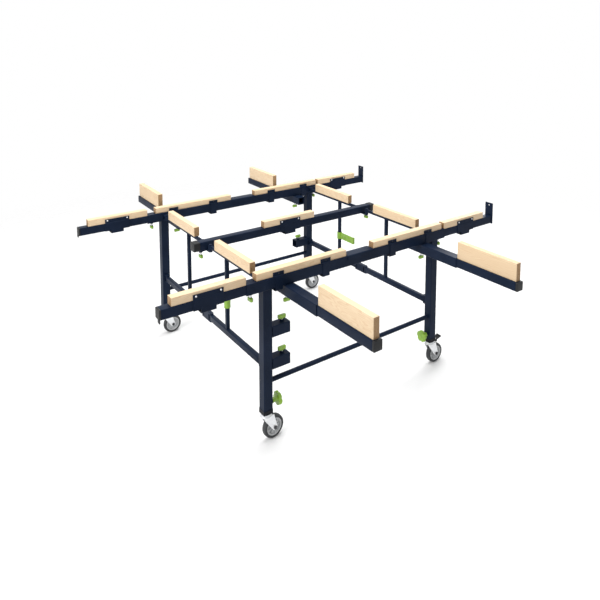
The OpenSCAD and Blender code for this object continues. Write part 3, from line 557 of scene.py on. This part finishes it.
# %% Sheet bent along a line
SHEET, BEND = 3.0, 3.5
WOOD_SHEET = HALF_STRIP + 0.1 + SHEET / 2  # middle of a sheet that stands beside the wood
CLAMP_TOP, STRAP_LOW = 694.0, 620.5


def bent_line(points, radius, steps=5):
    """Open line with rounded bends: near each inner corner a quadratic curve takes its place."""
    points = np.asarray(points, float)
    out = [points[:1]]
    t = np.linspace(0, 1, steps + 1)[:, None]
    for before, here, after in zip(points[:-2], points[1:-1], points[2:]):
        len_b, len_a = np.linalg.norm(before - here), np.linalg.norm(after - here)
        a = here + (before - here) / len_b * min(radius, len_b * 0.48)
        b = here + (after - here) / len_a * min(radius, len_a * 0.48)
        out.append((1 - t) ** 2 * a + 2 * t * (1 - t) * here + t**2 * b)
    out.append(points[-1:])
    return np.concatenate(out)


def sheet_outline(points, radius):
    """Closed outline of a bent sheet: its middle line plus and minus half a sheet along its normals."""
    line = bent_line(points, radius)
    along = np.gradient(line, axis=0)
    along /= np.linalg.norm(along, axis=1, keepdims=True)
    normal = np.stack([-along[:, 1], along[:, 0]], 1)
    outline = np.concatenate([line - normal * SHEET / 2, (line + normal * SHEET / 2)[::-1]])
    after = np.roll(outline, -1, axis=0)
    area = 0.5 * np.sum(outline[:, 0] * after[:, 1] - outline[:, 1] * after[:, 0])
    return outline if area > 0 else outline[::-1]


def folded_sheet(points, width, radius=BEND, edge=0.3):
    """Bent sheet standing on its edge: the outline at z = 0 and at z = width, with its edges broken."""
    outline = sheet_outline(points, radius)
    along = np.roll(outline, -1, axis=0) - np.roll(outline, 1, axis=0)
    along /= np.maximum(np.linalg.norm(along, axis=1, keepdims=True), 1e-9)
    drawn = outline + np.stack([-along[:, 1], along[:, 0]], 1) * edge
    rings = [level(drawn, 0), level(outline, edge), level(outline, width - edge), level(drawn, width)]
    return loft(rings, "steel")


def over_beam(solid, x0, y):
    """Turns a sheet whose outline is (y, z) so that its width runs along +X from x0, in the beam at y."""
    p = solid["points"]
    return {**solid, "points": np.column_stack([p[:, 2] + x0, p[:, 0] + y, p[:, 1]])}


def clamp_solids(x, y, half, tube_top, strapped=True):
    """Narrow clamp: an angle 50 wide beside the wood on each side, and a tab 34 wide on each side of
    the beam. The two tabs are one strap under the beam if it is strapped."""
    out, shelf = half + 1.6, tube_top + 1.6
    right = [(out, STRAP_LOW if strapped else BEAM_LOW), (out, tube_top + 0.1)]
    left = [(-a, b) for a, b in right]
    tabs = [right[::-1] + left] if strapped else [right, left]
    solids = [over_beam(folded_sheet(line, 34), x - 17, y) for line in tabs]
    for s in (-1, 1):
        angle = [(s * (out + 1.4), shelf), (s * WOOD_SHEET, shelf), (s * WOOD_SHEET, CLAMP_TOP)]
        solids.append(over_beam(folded_sheet(angle, 50), x - 25, y))
    return solids


def pan_head(x, y, z, sy, radius, finish="bolt"):
    """Domed screw head with a socket, facing along Y: a turned profile that dips in the middle."""
    profile = [(radius, 0), (radius, 0.9), (radius * 0.86, 2.0), (radius * 0.6, 2.7),
               (radius * 0.42, 2.8), (radius * 0.40, 1.4), (0.2, 1.3)]
    return stand(turned(profile, finish, 20), "y" if sy > 0 else "-y", (x, y, z))


def wide_clamp(x, y, half, tube_top):
    """Wide clamp: two sides 120 wide that run up the beam, in over its top and up beside the wood, a
    tab 60 wide that goes under the beam, and four pan heads."""
    out, shelf, tab_out = half + 1.6, tube_top + 1.6, half + 1.7
    solids = []
    for s in (-1, 1):
        line = [(s * out, tube_top - 2 * half), (s * out, shelf),
                (s * WOOD_SHEET, shelf), (s * WOOD_SHEET, CLAMP_TOP)]
        solids.append(over_beam(folded_sheet(line, 120), x - 60, y))
    tab = [(tab_out, tube_top - 1), (tab_out, STRAP_LOW), (-tab_out, STRAP_LOW), (-tab_out, tube_top - 1)]
    solids.append(over_beam(folded_sheet(tab, 60), x - 30, y))
    for s in (-1, 1):
        for dx in (-49, 49):
            solids.append(pan_head(x + dx, y + s * 20.1, 687.5, s, 3.6, "zinc"))
    return solids


for side, sy in SIDES.items():
    y = sy * FRAME_Y
    solids = []
    for x in (418 * sy, -188, 188):
        solids += clamp_solids(x, y, 22.6, BEAM_TOP)
    solids += clamp_solids(-418 * sy, y, 22.6, BEAM_TOP, strapped=False)
    plate = [(24.1, 659.5), (24.1, 678.6), (-24.1, 678.6), (-24.1, 659.5)]
    solids.append(over_beam(folded_sheet(plate, 145, 4.0), -72.5, y))
    for x in (-188, 188, -418, 418):
        for s in (-1, 1):
            solids.append(pan_head(x, y + s * 20.1, 688, s, 2.6))
    piece(f"{side}_strip_clamps_sheet", f"{side}_frame", solids, [f"{side}_strip_clamps"])
print("clamps done")

# %% [markdown]
# ## Beam extensions
# Each extension is an inner tube with a strip, a wide clamp and an end piece. The left ones
# end in a moulded cap with a small hook; the right ones in an upright plate with one hole.

# %% Extensions
SLIDER, SLIDER_WALL = 38.4, 2  # every sliding tube
EXTENSION_Z, EXTENSION_REACH, INSIDE = 654.5, 900, 400


def end_cap(length, edge):
    """Moulded cap as wide as the sliding tube that it closes."""
    return bar(squared(SLIDER, SLIDER, 3.5), length, "black", edge)


def holed_plate(y_width, low, high, hole_z, hole_r, thickness):
    """Upright plate with a round hole. Six rings close into one loop: the hole, its broken edge and
    the plate's outline on one face, then the outline, the edge and the hole on the other."""
    steps = 64
    a = (np.arange(steps) + 0.5) * 2 * math.pi / steps
    centre = np.array([0.0, hole_z])
    direction = np.stack([np.cos(a), np.sin(a)], 1)
    reach_y = (y_width / 2) / np.maximum(np.abs(direction[:, 0]), 1e-9)
    limit = np.where(direction[:, 1] > 0, high - hole_z, hole_z - low)
    reach_z = limit / np.maximum(np.abs(direction[:, 1]), 1e-9)
    outer = centre + direction * np.minimum(reach_y, reach_z)[:, None]
    for sy in (-1, 1):
        for z in (low, high):
            k = np.argmin(np.abs(outer[:, 0] - sy * y_width / 2) + np.abs(outer[:, 1] - z))
            outer[k] = (sy * y_width / 2, z)
    inner = centre + direction * hole_r
    rim = inner + direction * 0.6
    rings = [level(inner, 0.6), level(rim, 0), level(outer, 0), level(outer, thickness),
             level(rim, thickness), level(inner, thickness - 0.6)]
    return loft(rings, "steel", loop=True)


def extension_solids(side, hand):
    """All solids of one extension, worked out as a right-hand one and mirrored if it is a left one."""
    y = SIDES[side] * FRAME_Y
    left = hand == "left"
    beam_end, end_t = (560.0, 7.0) if left else (532.0, 5.0)
    length = EXTENSION_REACH - end_t - beam_end + INSIDE
    inner = tube(squared(SLIDER, SLIDER, 3), SLIDER_WALL, length, "steel")
    solids = [stand(inner, "x", (beam_end - INSIDE, y, EXTENSION_Z)),
              board(beam_end + 0.3, beam_end + 295.3, y - HALF_STRIP, y + HALF_STRIP, 673.8, TOP)]
    solids += wide_clamp(beam_end + 155.3, y, 19.3, 673.7)
    if left:
        hook = bar(squared(3.9, 18, 1.5), 12.7, "black", 1.0)
        solids.append(stand(end_cap(6.9, 1.5), "x", (893.1, y, EXTENSION_Z)))
        solids.append(stand(hook, "-z", (898.0, y + SIDES[side] * 10.2, 636.0)))
    else:
        plate = holed_plate(45, 632, 740, 728, 4, 4.9)
        p = plate["points"]
        solids.append({**plate, "points": np.column_stack([p[:, 2] + 895.1, p[:, 0] + y, p[:, 1]])})
    return [mirrored(s, 0) for s in solids] if left else solids


for side in SIDES:
    for hand in HANDS:
        name = f"{side}_{hand}_extension"
        piece(f"{name}_assembly", name, extension_solids(side, hand), [name])
print("extensions done")

# %% [markdown]
# ## Outriggers
# The outriggers carry tall boards on edge. From outside only the tube, the cap and the board show.

# %% Outriggers
OUTRIGGER_X = {("front", "left"): -368.0, ("front", "right"): 395.0,
               ("rear", "left"): -395.0, ("rear", "right"): 368.0}
OUTRIGGER_Z = 609.4


def outrigger_solids(side, hand):
    """Inner tube, end cap and board, worked out for the rear and mirrored for the front."""
    x = OUTRIGGER_X[side, hand]
    inner = tube(squared(SLIDER, SLIDER, 3), SLIDER_WALL, 615.9, "steel")
    solids = [stand(inner, "y", (x, 450.0, OUTRIGGER_Z)),
              stand(end_cap(9, 1.6), "y", (x, 1066.0, OUTRIGGER_Z)),
              board(x - 13.5, x + 13.5, 758.3, 1065.3, 628.7, TOP)]
    return [mirrored(s, 1) for s in solids] if side == "front" else solids


for side in SIDES:
    for hand in HANDS:
        name = f"{side}_{hand}_outrigger"
        piece(f"{name}_assembly", name, outrigger_solids(side, hand), [name])
print("outriggers done")

# %% [markdown]
# ## Folding gates
# A gate half is a light weldment: a thin top bar, a deeper lower bar and one upright, with
# turned knuckles at both ends. It is worked out with its leg pin on the origin and its link pin
# up +Y, then moved to its corner, mirrored for the rear.

# %% Gate halves
GATE = HINGE_Y - LINK_Y
PIN_BORE, OPEN_BORE = 4.08, 4.3  # the wider one is where the linkage's loop is left open


def gate_solids(side, hand, closing=False):
    """Bars, knuckles and board of one gate half."""
    leg_bore = OPEN_BORE if closing else PIN_BORE

    def knuckle(y, low, high, bore):
        """Turned sleeve about a pin, from low to high."""
        tall = high - low
        profile = [(8.6, 0), (9, 0.4), (9, tall - 0.4), (8.6, tall), (bore + 0.3, tall),
                   (bore, tall - 0.3), (bore, 0.3), (bore + 0.3, 0)]
        return stand(turned_ring(profile, "steel", 32), "z", (0, y, low))

    solids = [stand(bar(squared(12, 15, 1.5), GATE - 16, "steel", 0.5), "y", (0, 8, 652.5)),
              stand(bar(squared(20, 28, 3), GATE - 22, "steel", 0.8), "y", (0, 11, 317)),
              stand(bar(squared(16, 16, 2), 314.4, "steel", 0.2), "z", (0, HINGE_Y - 200, 330.8)),
              knuckle(0, 645, 660, leg_bore), knuckle(0, 303, 331, leg_bore),
              knuckle(GATE, 636.1, 660, PIN_BORE), knuckle(GATE, 303, 331, PIN_BORE)]
    for y in (4.6, GATE - 11.4):
        solids.append(stand(bar(squared(18, 27.6, 1), 6.8, "steel", 0.3), "y", (0, y, 317)))
    solids.append(board(-13.5, 13.5, HINGE_Y - 425, HINGE_Y - 107, 660.1, TOP))
    if side == "rear":
        solids = [mirrored(s, 1) for s in solids]
    return [stand(s, "z", (HANDS[hand] * LEG_X, SIDES[side] * HINGE_Y, 0)) for s in solids]


for hand in HANDS:
    for side in SIDES:
        name = f"{hand}_gate_{side}_half"
        closing = (side, hand) == ("rear", "right")
        piece(f"{name}_assembly", f"{hand}_{side}_gate", gate_solids(side, hand, closing), [name])
print("gates done")

# %% [markdown]
# ## Lock knobs
# A moulded wing knob has a round neck and two wings that swell towards their tips; its outline is
# one closed curve whose half width depends on the distance from the middle. The star knobs on the
# legs have five lobes and a raised hub.

# %% Knob shapes
def wing_knob(reach, neck=12, length=30, width=16):
    """Wing knob hanging from z = 0: plated stem, collar, winged grip with a screw head below, and a
    screw that goes up by reach."""
    wings = lambda inset=0.0: wing_outline(length, width, width - 4, inset)
    head = [(3.2, 0), (3.2, 0.8), (2.6, 0.8), (2.4, 0.1), (0.2, 0.05)]
    return [stand(turned([(4.5, 0), (5, 0.5), (5, neck + 0.2)], "zinc"), "-z", (0, 0, 0)),
            stand(turned([(6.6, 0), (7.2, 0.6), (7.4, 2.6)], "lime"), "-z", (0, 0, -neck + 1.8)),
            stand(bar(wings, 14, "lime", 2.2, steps=4), "-z", (0, 0, -neck)),
            stand(turned(head, "bolt", 20), "-z", (0, 0, -neck - 13.4)),
            stand(turned([(4, 0), (4, reach - 0.5), (3.5, reach)], "zinc", 24), "z", (0, 0, 0))]


def star_knob():
    """Star knob along +Z from z = 0: neck, lobed grip, a raised hub and its screw behind."""
    lobes = lambda inset=0.0: star_outline(28, 5.0, 5, inset)
    return [stand(turned([(10, 0), (11, 0.8), (10, 14), (14, 22)], "lime", 40), "z", (0, 0, 0)),
            stand(bar(lobes, 13, "lime", 3.2, steps=5), "z", (0, 0, 21.5)),
            stand(turned([(9, 0), (9, 0.4), (8.2, 1.0), (0.2, 1.05)], "lime", 32), "z", (0, 0, 33.6)),
            stand(turned([(4, 0), (4, 8.8), (3.5, 9.3)], "zinc", 24), "-z", (0, 0, 0))]


def flipped(solids):
    """Turned over about X, so that what hung now stands."""
    return [stand(s, "-z") for s in solids]


def knob_piece(name, solids, at, along="z", turn=0.0):
    """One knob on its own body, turned and moved to its place."""
    solids = [stand(s, along, at, turn) for s in solids]
    piece(f"{name}_moulding", name, solids, [name])


SCREW_REACH = 10.2
HALF_SOCKET, SOCKET_BOSS = 22.5, 7.3
for side, sy in SIDES.items():
    for hand, sx in HANDS.items():
        y, corner = sy * FRAME_Y, f"{side}_{hand}"
        place = (-534.0 if sx < 0 else 506.0, y, 624.7)
        knob_piece(f"{corner}_extension_knob", wing_knob(SCREW_REACH), place, turn=90)
        knob_piece(f"{corner}_outrigger_knob", wing_knob(SCREW_REACH), (OUTRIGGER_X[side, hand], y, 579.6))
        knob_piece(f"{corner}_foot_knob", star_knob(), (sx * 439.7, y, 157), "x" if sx < 0 else "-x")
for side, hand in (("front", "left"), ("rear", "right")):
    for label, z in (("upper", 455.0), ("lower", 322.0)):
        place = (HANDS[hand] * 391.9, SIDES[side] * FRAME_Y, z + HALF_SOCKET + SOCKET_BOSS)
        knob_piece(f"{side}_{label}_storage_knob", flipped(wing_knob(SCREW_REACH, 5, 36, 18)), place)
for hand, sx in HANDS.items():
    knob_piece(f"{hand}_centre_knob", wing_knob(13.3), (sx * 497.0, 0, 622.4), turn=90)
print("knobs done")

# %% [markdown]
# ## Casters
# A pressed fork has cheeks that narrow from the crown to the axle, and a ball race on top. The
# wheel is a pale hub with a grey tyre, both turned. Everything is worked out with the swivel on Z
# and the wheel trailing along +X, then turned to the angle that each caster stands at.

# %% Caster pieces
CASTER_TURN = {("front", "left"): 5, ("front", "right"): 0, ("rear", "left"): 0, ("rear", "right"): 0}
TRAIL, AXLE_Z = 33, 47
CROWN_Z, RACE_Z, KING_BORE = 102.1, 106.1, 6.08
PEDAL_PIN = (34, 111.1)  # X and Z


def on_caster(solids, side, hand):
    """Turns solids about the swivel axis and moves them under their leg."""
    turn = about_z(CASTER_TURN[side, hand])
    return [moved(s, turn, (HANDS[hand] * LEG_X, SIDES[side] * FRAME_Y, 0)) for s in solids]


def on_side(solid, y0):
    """A plate whose outline is (x, z) and whose thickness runs from y0 towards +Y."""
    p = solid["points"]
    points = np.column_stack([p[:, 0], y0 + p[:, 2], p[:, 1]])
    return {**solid, "points": points, "faces": [f[::-1] for f in solid["faces"]]}


def fork_solids(braked):
    """Cheeks, crown and ball race with the king pin's bore, axle and nuts, and a braked one's pedal lug."""
    cheek = [(-19, RACE_Z), (-19, 98), (24, 38), (41, 37), (44, 49), (29, 98), (29, RACE_Z)]
    outline = lambda inset=0.0: plate_outline(cheek, 9, inset)
    solids = [on_side(bar(outline, 3, "zinc", 0.7), y0) for y0 in (-17.5, 14.5)]
    crown = [(KING_BORE, 0), (21.5, 0), (23, 0.8), (23, 3.4), (22.4, 4), (KING_BORE, 4)]
    race = [(KING_BORE, 0), (19, 0), (21, 0.8), (21, 2.6), (18.5, 4.2), (18.5, 4.8), (20.5, 5.6),
            (20.5, 8.2), (19.5, 9), (KING_BORE, 9)]
    solids.append(stand(turned_ring(crown, "zinc", 48), "z", (0, 0, CROWN_Z)))
    solids.append(stand(turned_ring(race, "zinc", 48), "z", (0, 0, RACE_Z)))
    for y0 in (-17.5, 9):
        solids.append(stand(bar(squared(23, 8.5, 1), 4, "zinc", 0.6), "z", (0, y0 + 4.25, CROWN_Z)))
    solids.append(stand(turned([(5, 0), (5, 40)], "bolt", 24), "y", (TRAIL, -20, AXLE_Z)))
    nut = lambda inset=0.0: round_outline(8, inset, 6)
    for s in (-1, 1):
        along = "y" if s > 0 else "-y"
        solids.append(stand(bar(nut, 3.8, "bolt", 0.8), along, (TRAIL, s * 17.6, AXLE_Z)))
    if braked:
        x, z = PEDAL_PIN
        solids.append(stand(bar(squared(16, 10, 1), 12, "zinc", 0.5), "z", (26, 0, CROWN_Z)))
        solids.append(stand(turned([(5, 0), (5, 10)], "zinc", 24), "y", (x, -5, z)))
        solids.append(stand(turned([(3, 0), (3, 28)], "bolt", 20), "y", (x, -14, z)))
    return solids


def wheel_solids():
    """Tyre with a rounded tread and grooved walls, and a hub with a recessed web and eight ribs."""
    tyre = [(35.1, -10.5), (41, -11.2), (42, -10.4), (43.2, -11.6), (45.6, -9.6), (46.6, -6), (47, 0),
            (46.6, 6), (45.6, 9.6), (43.2, 11.6), (42, 10.4), (41, 11.2), (35.1, 10.5)]
    hub = [(5.08, -12), (11, -12), (12, -11.2), (12.6, -5.5), (28, -5), (30.5, -10.6), (35, -10.9),
           (35, 10.9), (30.5, 10.6), (28, 5), (12.6, 5.5), (12, 11.2), (11, 12), (5.08, 12)]
    solids = [turned_ring(tyre, "rubber", 72), turned_ring(hub, "hub", 72)]
    for k in range(8):
        rib = stand(bar(squared(16.5, 2.6, 0.6), 17, "hub", 0.6), "z", (20.3, 0, -8.5))
        solids.append(moved(rib, about_z(k * 45 + 12)))
    return [stand(s, "-y", (TRAIL, 0, AXLE_Z)) for s in solids]


def pedal_solids():
    """Pedal: two arms on the pin, a ribbed tread and a raised lip, tilted up by 14 degrees."""
    rise, run = math.sin(math.radians(14)), math.cos(math.radians(14))
    tilt = np.array([[run, 0, -rise], [0, 1, 0], [rise, 0, run]])
    ring = [(5.6, 0), (6, 0.4), (6, 8.2), (5.6, 8.6), (3.3, 8.6), (3.08, 8.4), (3.08, 0.2), (3.3, 0)]
    solids = []
    for y in (5.4, -14.0):
        solids.append(stand(turned_ring(ring, "black", 24), "y", (0, y, 0)))
        solids.append(stand(bar(squared(3.8, 8.4, 0.8), 31, "black", 0.5), "x", (4.6, y + 4.3, 4)))
    solids.append(stand(bar(squared(4, 28, 1.5), 26, "black", 1), "x", (10, 0, 4)))
    for x in (16, 20, 24):
        solids.append(stand(bar(squared(1.6, 24, 0.6), 1.6, "black", 0.5), "x", (x, 0, 6.2)))
    solids.append(stand(bar(squared(7, 28, 2), 6, "black", 1.4), "x", (30, 0, 5.5)))
    return [moved(s, tilt, (PEDAL_PIN[0], 0, PEDAL_PIN[1])) for s in solids]


for side in SIDES:
    for hand in HANDS:
        corner = f"{side}_{hand}"
        braked = (side, hand) in (("front", "right"), ("rear", "left"))
        fork = on_caster(fork_solids(braked), side, hand)
        piece(f"{corner}_caster_fork_pressing", f"{corner}_caster", fork, [f"{corner}_caster_fork"])
        wheel = on_caster(wheel_solids(), side, hand)
        piece(f"{corner}_wheel_and_tyre", f"{corner}_wheel", wheel, [f"{corner}_wheel"])
        if braked:
            name = f"{corner}_brake_pedal"
            pedal = on_caster(pedal_solids(), side, hand)
            piece(f"{name}_moulding", name, pedal, [name])
print("casters done")

# %% [markdown]
# ## Centre beam
# The centre beam is a lighter square tube with moulded end blocks and one wide clamp.

# %% Centre beam
solids = [stand(tube(squared(38, 38, 3), 2, 1016, "steel"), "x", (-508, 0, 655))]
for sx in (-1, 1):
    at = (sx * 508.1, 0, 655)
    solids.append(stand(bar(squared(41, 44, 5), 30, "black", 2.0), "x" if sx > 0 else "-x", at))
solids += wide_clamp(-20, 0, 19.1, 674.0)
piece("centre_beam_assembly", "centre_beam", solids, ["centre_beam"])
print("centre beam done")

# %% [markdown]
# ## Latches
# Each latch is a springy green moulding: a ring round the upright bar, a flat arm stiffened by
# ribs, and a hook that catches the other half's bar when the gates are folded.

# %% Latches
LATCH_LOW, LATCH_Y = 428, 200


def latch_solids():
    """Ring, plate between two thicker rails, cross ribs and a hook, reaching along +Y."""
    ring = [(13.4, 0), (14, 0.6), (14, 37.4), (13.4, 38), (12.1, 38), (11.614, 37.6), (11.614, 0.4),
            (12.1, 0)]
    solids = [stand(turned_ring(ring, "lime", 40), "z", (0, 0, 0)),
              stand(bar(squared(2.6, 36, 0.8), 114, "lime", 0.6), "y", (0, 12.8, 19))]
    for z in (4.5, 33.5):
        solids.append(stand(bar(squared(6, 9, 1.2), 115, "lime", 0.8), "y", (0, 12.8, z)))
    for y, length in ((12.8, 16), (46, 6), (76, 6), (104, 24)):
        solids.append(stand(bar(squared(5.6, 37.6, 1.2), length, "lime", 0.8), "y", (0, y, 19)))
    solids.append(stand(bar(squared(9, 38, 1.4), 6, "lime", 1.0), "y", (-4.5, 122, 19)))
    return [stand(s, "z", (0, 0, LATCH_LOW)) for s in solids]


for hand, angle in (("left", -38), ("right", 180)):
    place = (HANDS[hand] * LEG_X, HANDS[hand] * LATCH_Y, 0)
    latch = [moved(s, about_z(angle), place) for s in latch_solids()]
    piece(f"{hand}_gate_latch_moulding", f"{hand}_latch", latch, [f"{hand}_gate_latch"])
print("latches done")

# %% [markdown]
# ## CAD nodes that keep their shape
# The beams, legs, links and foot tubes already have their true form, rounded corners included. They
# only need their finish. The collar at a leg's lower end is black, and the mask for it is the
# height in the piece's own coordinates.

# %% Finish of the kept nodes
COLLAR_TOP = 0.135


def leg_material():
    """Powder coat above the collar's top edge, black moulding below it."""
    material = FINISH["steel"].copy()
    material.name = "leg_coat_with_black_collar"
    tree = material.node_tree
    shader = tree.nodes["Principled BSDF"]
    coords = tree.nodes.new("ShaderNodeTexCoord").outputs["Object"]
    parts = tree.nodes.new("ShaderNodeSeparateXYZ")
    tree.links.new(coords, parts.inputs[0])
    above = spread(tree, parts.outputs["Z"], COLLAR_TOP - 0.0001, COLLAR_TOP + 0.0001)
    old = shader.inputs["Base Color"].links[0].from_socket
    tree.links.new(mix_colour(tree, above, (0.013, 0.014, 0.017), old), shader.inputs["Base Color"])
    return material


LEG_COAT = leg_material()
for node, obj in NODE.items():
    if obj.hide_render:
        continue
    finish = FINISH["steel"]
    if "leg" in node:
        finish = LEG_COAT
    elif "foot_tube" in node:
        finish = FINISH["zinc"]
    obj.data.materials.clear()
    obj.data.materials.append(finish)
print("kept nodes:", [n for n, o in NODE.items() if not o.hide_render])

# %% [markdown]
# ## Floor, light and camera
# The picture to match is a cut-out on white, so the floor and the world show white to the camera
# and the lamps are large and soft. The camera's place comes from a fit of known points.

# %% Floor
FADE_FROM, FADE_TO = 1.7, 3.6  # metres from the middle
HALF_FLOOR = 30


def floor_material():
    """Near-white floor that keeps the soft shadow of the table, and fades out away from it."""
    material, tree, shader = start_material("studio_floor")
    coords = tree.nodes.new("ShaderNodeTexCoord").outputs["Object"]
    tone = mix_colour(tree, spread(tree, noise(tree, coords, 3.0), 0.3, 0.7), (0.90,) * 3, (0.93,) * 3)
    tree.links.new(tone, shader.inputs["Base Color"])
    shader.inputs["Roughness"].default_value = 0.9
    reach = tree.nodes.new("ShaderNodeVectorMath")
    reach.operation = "LENGTH"
    tree.links.new(coords, reach.inputs[0])
    tree.links.new(spread(tree, reach.outputs["Value"], FADE_FROM, FADE_TO, 1.0, 0.0), shader.inputs["Alpha"])
    return material


floor_mesh = bpy.data.meshes.new("studio_floor")
corners = [(x * HALF_FLOOR, y * HALF_FLOOR, 0) for x, y in ((-1, -1), (1, -1), (1, 1), (-1, 1))]
floor_mesh.from_pydata(corners, [], [(0, 1, 2, 3)])
floor_mesh.materials.append(floor_material())
floor = bpy.data.objects.new("studio_floor", floor_mesh)
bpy.context.scene.collection.objects.link(floor)

# %% World and lamps
FILL_LIGHT = 0.45  # strength of the white world as a light; the camera sees it at 1
scene = bpy.context.scene
scene.view_settings.view_transform = "Standard"
world = bpy.data.worlds.new("studio_world")
scene.world = world
world.use_nodes = True
tree = world.node_tree
background = tree.nodes["Background"]
path = tree.nodes.new("ShaderNodeLightPath")
seen = math_node(tree, "MAXIMUM", path.outputs["Is Camera Ray"], path.outputs["Is Glossy Ray"])
seen = math_node(tree, "MAXIMUM", seen, path.outputs["Is Transmission Ray"])
background.inputs["Color"].default_value = (1, 1, 1, 1)
tree.links.new(spread(tree, seen, 0.0, 1.0, FILL_LIGHT, 1.0), background.inputs["Strength"])


def soft_lamp(name, place, target, size, power):
    """Square area lamp at a place, facing a target."""
    light = bpy.data.lights.new(name, "AREA")
    light.shape = "SQUARE"
    light.size = size
    light.energy = power
    lamp = bpy.data.objects.new(name, light)
    lamp.location = place
    lamp.rotation_euler = (Vector(target) - Vector(place)).to_track_quat("-Z", "Y").to_euler()
    scene.collection.objects.link(lamp)
    return lamp


soft_lamp("key_left", (-4.3, -0.9, 3.3), (0, 0, 0.5), 2.6, 150)
soft_lamp("fill_top", (0.3, 0.4, 4.4), (0, 0, 0.6), 3.2, 170)
soft_lamp("rim_right", (3.6, 1.4, 2.4), (0, 0, 0.5), 2.0, 40)

# %% Camera
YAW, PITCH, ROLL = math.radians(36.784), math.radians(5.907), math.radians(0.2531)
PICTURE, SENSOR = 600, 36  # pixels and millimetres across
FOCAL, MIDDLE_X, MIDDLE_Y = 589.35, 327.51, 93.67  # pixels
CAMERA_PLACE = (-1.5979, -2.4375, 1.6252)
forward = Vector((math.sin(YAW) * math.cos(PITCH), math.cos(YAW) * math.cos(PITCH), -math.sin(PITCH)))
right = Vector((math.cos(YAW), -math.sin(YAW), 0))
upward = right.cross(forward)
right_r = right * math.cos(ROLL) + upward * math.sin(ROLL)
up_r = upward * math.cos(ROLL) - right * math.sin(ROLL)
camera_data = bpy.data.cameras.new("camera")
camera_data.lens = FOCAL * SENSOR / PICTURE
camera_data.shift_x = (PICTURE / 2 - MIDDLE_X) / PICTURE
camera_data.shift_y = (MIDDLE_Y - PICTURE / 2) / PICTURE
camera = bpy.data.objects.new("camera", camera_data)
axes = Matrix((right_r, up_r, -forward)).transposed()
camera.matrix_world = Matrix.Translation(CAMERA_PLACE) @ axes.to_4x4()
scene.collection.objects.link(camera)
scene.camera = camera
print("camera at", tuple(round(v, 3) for v in camera.location))
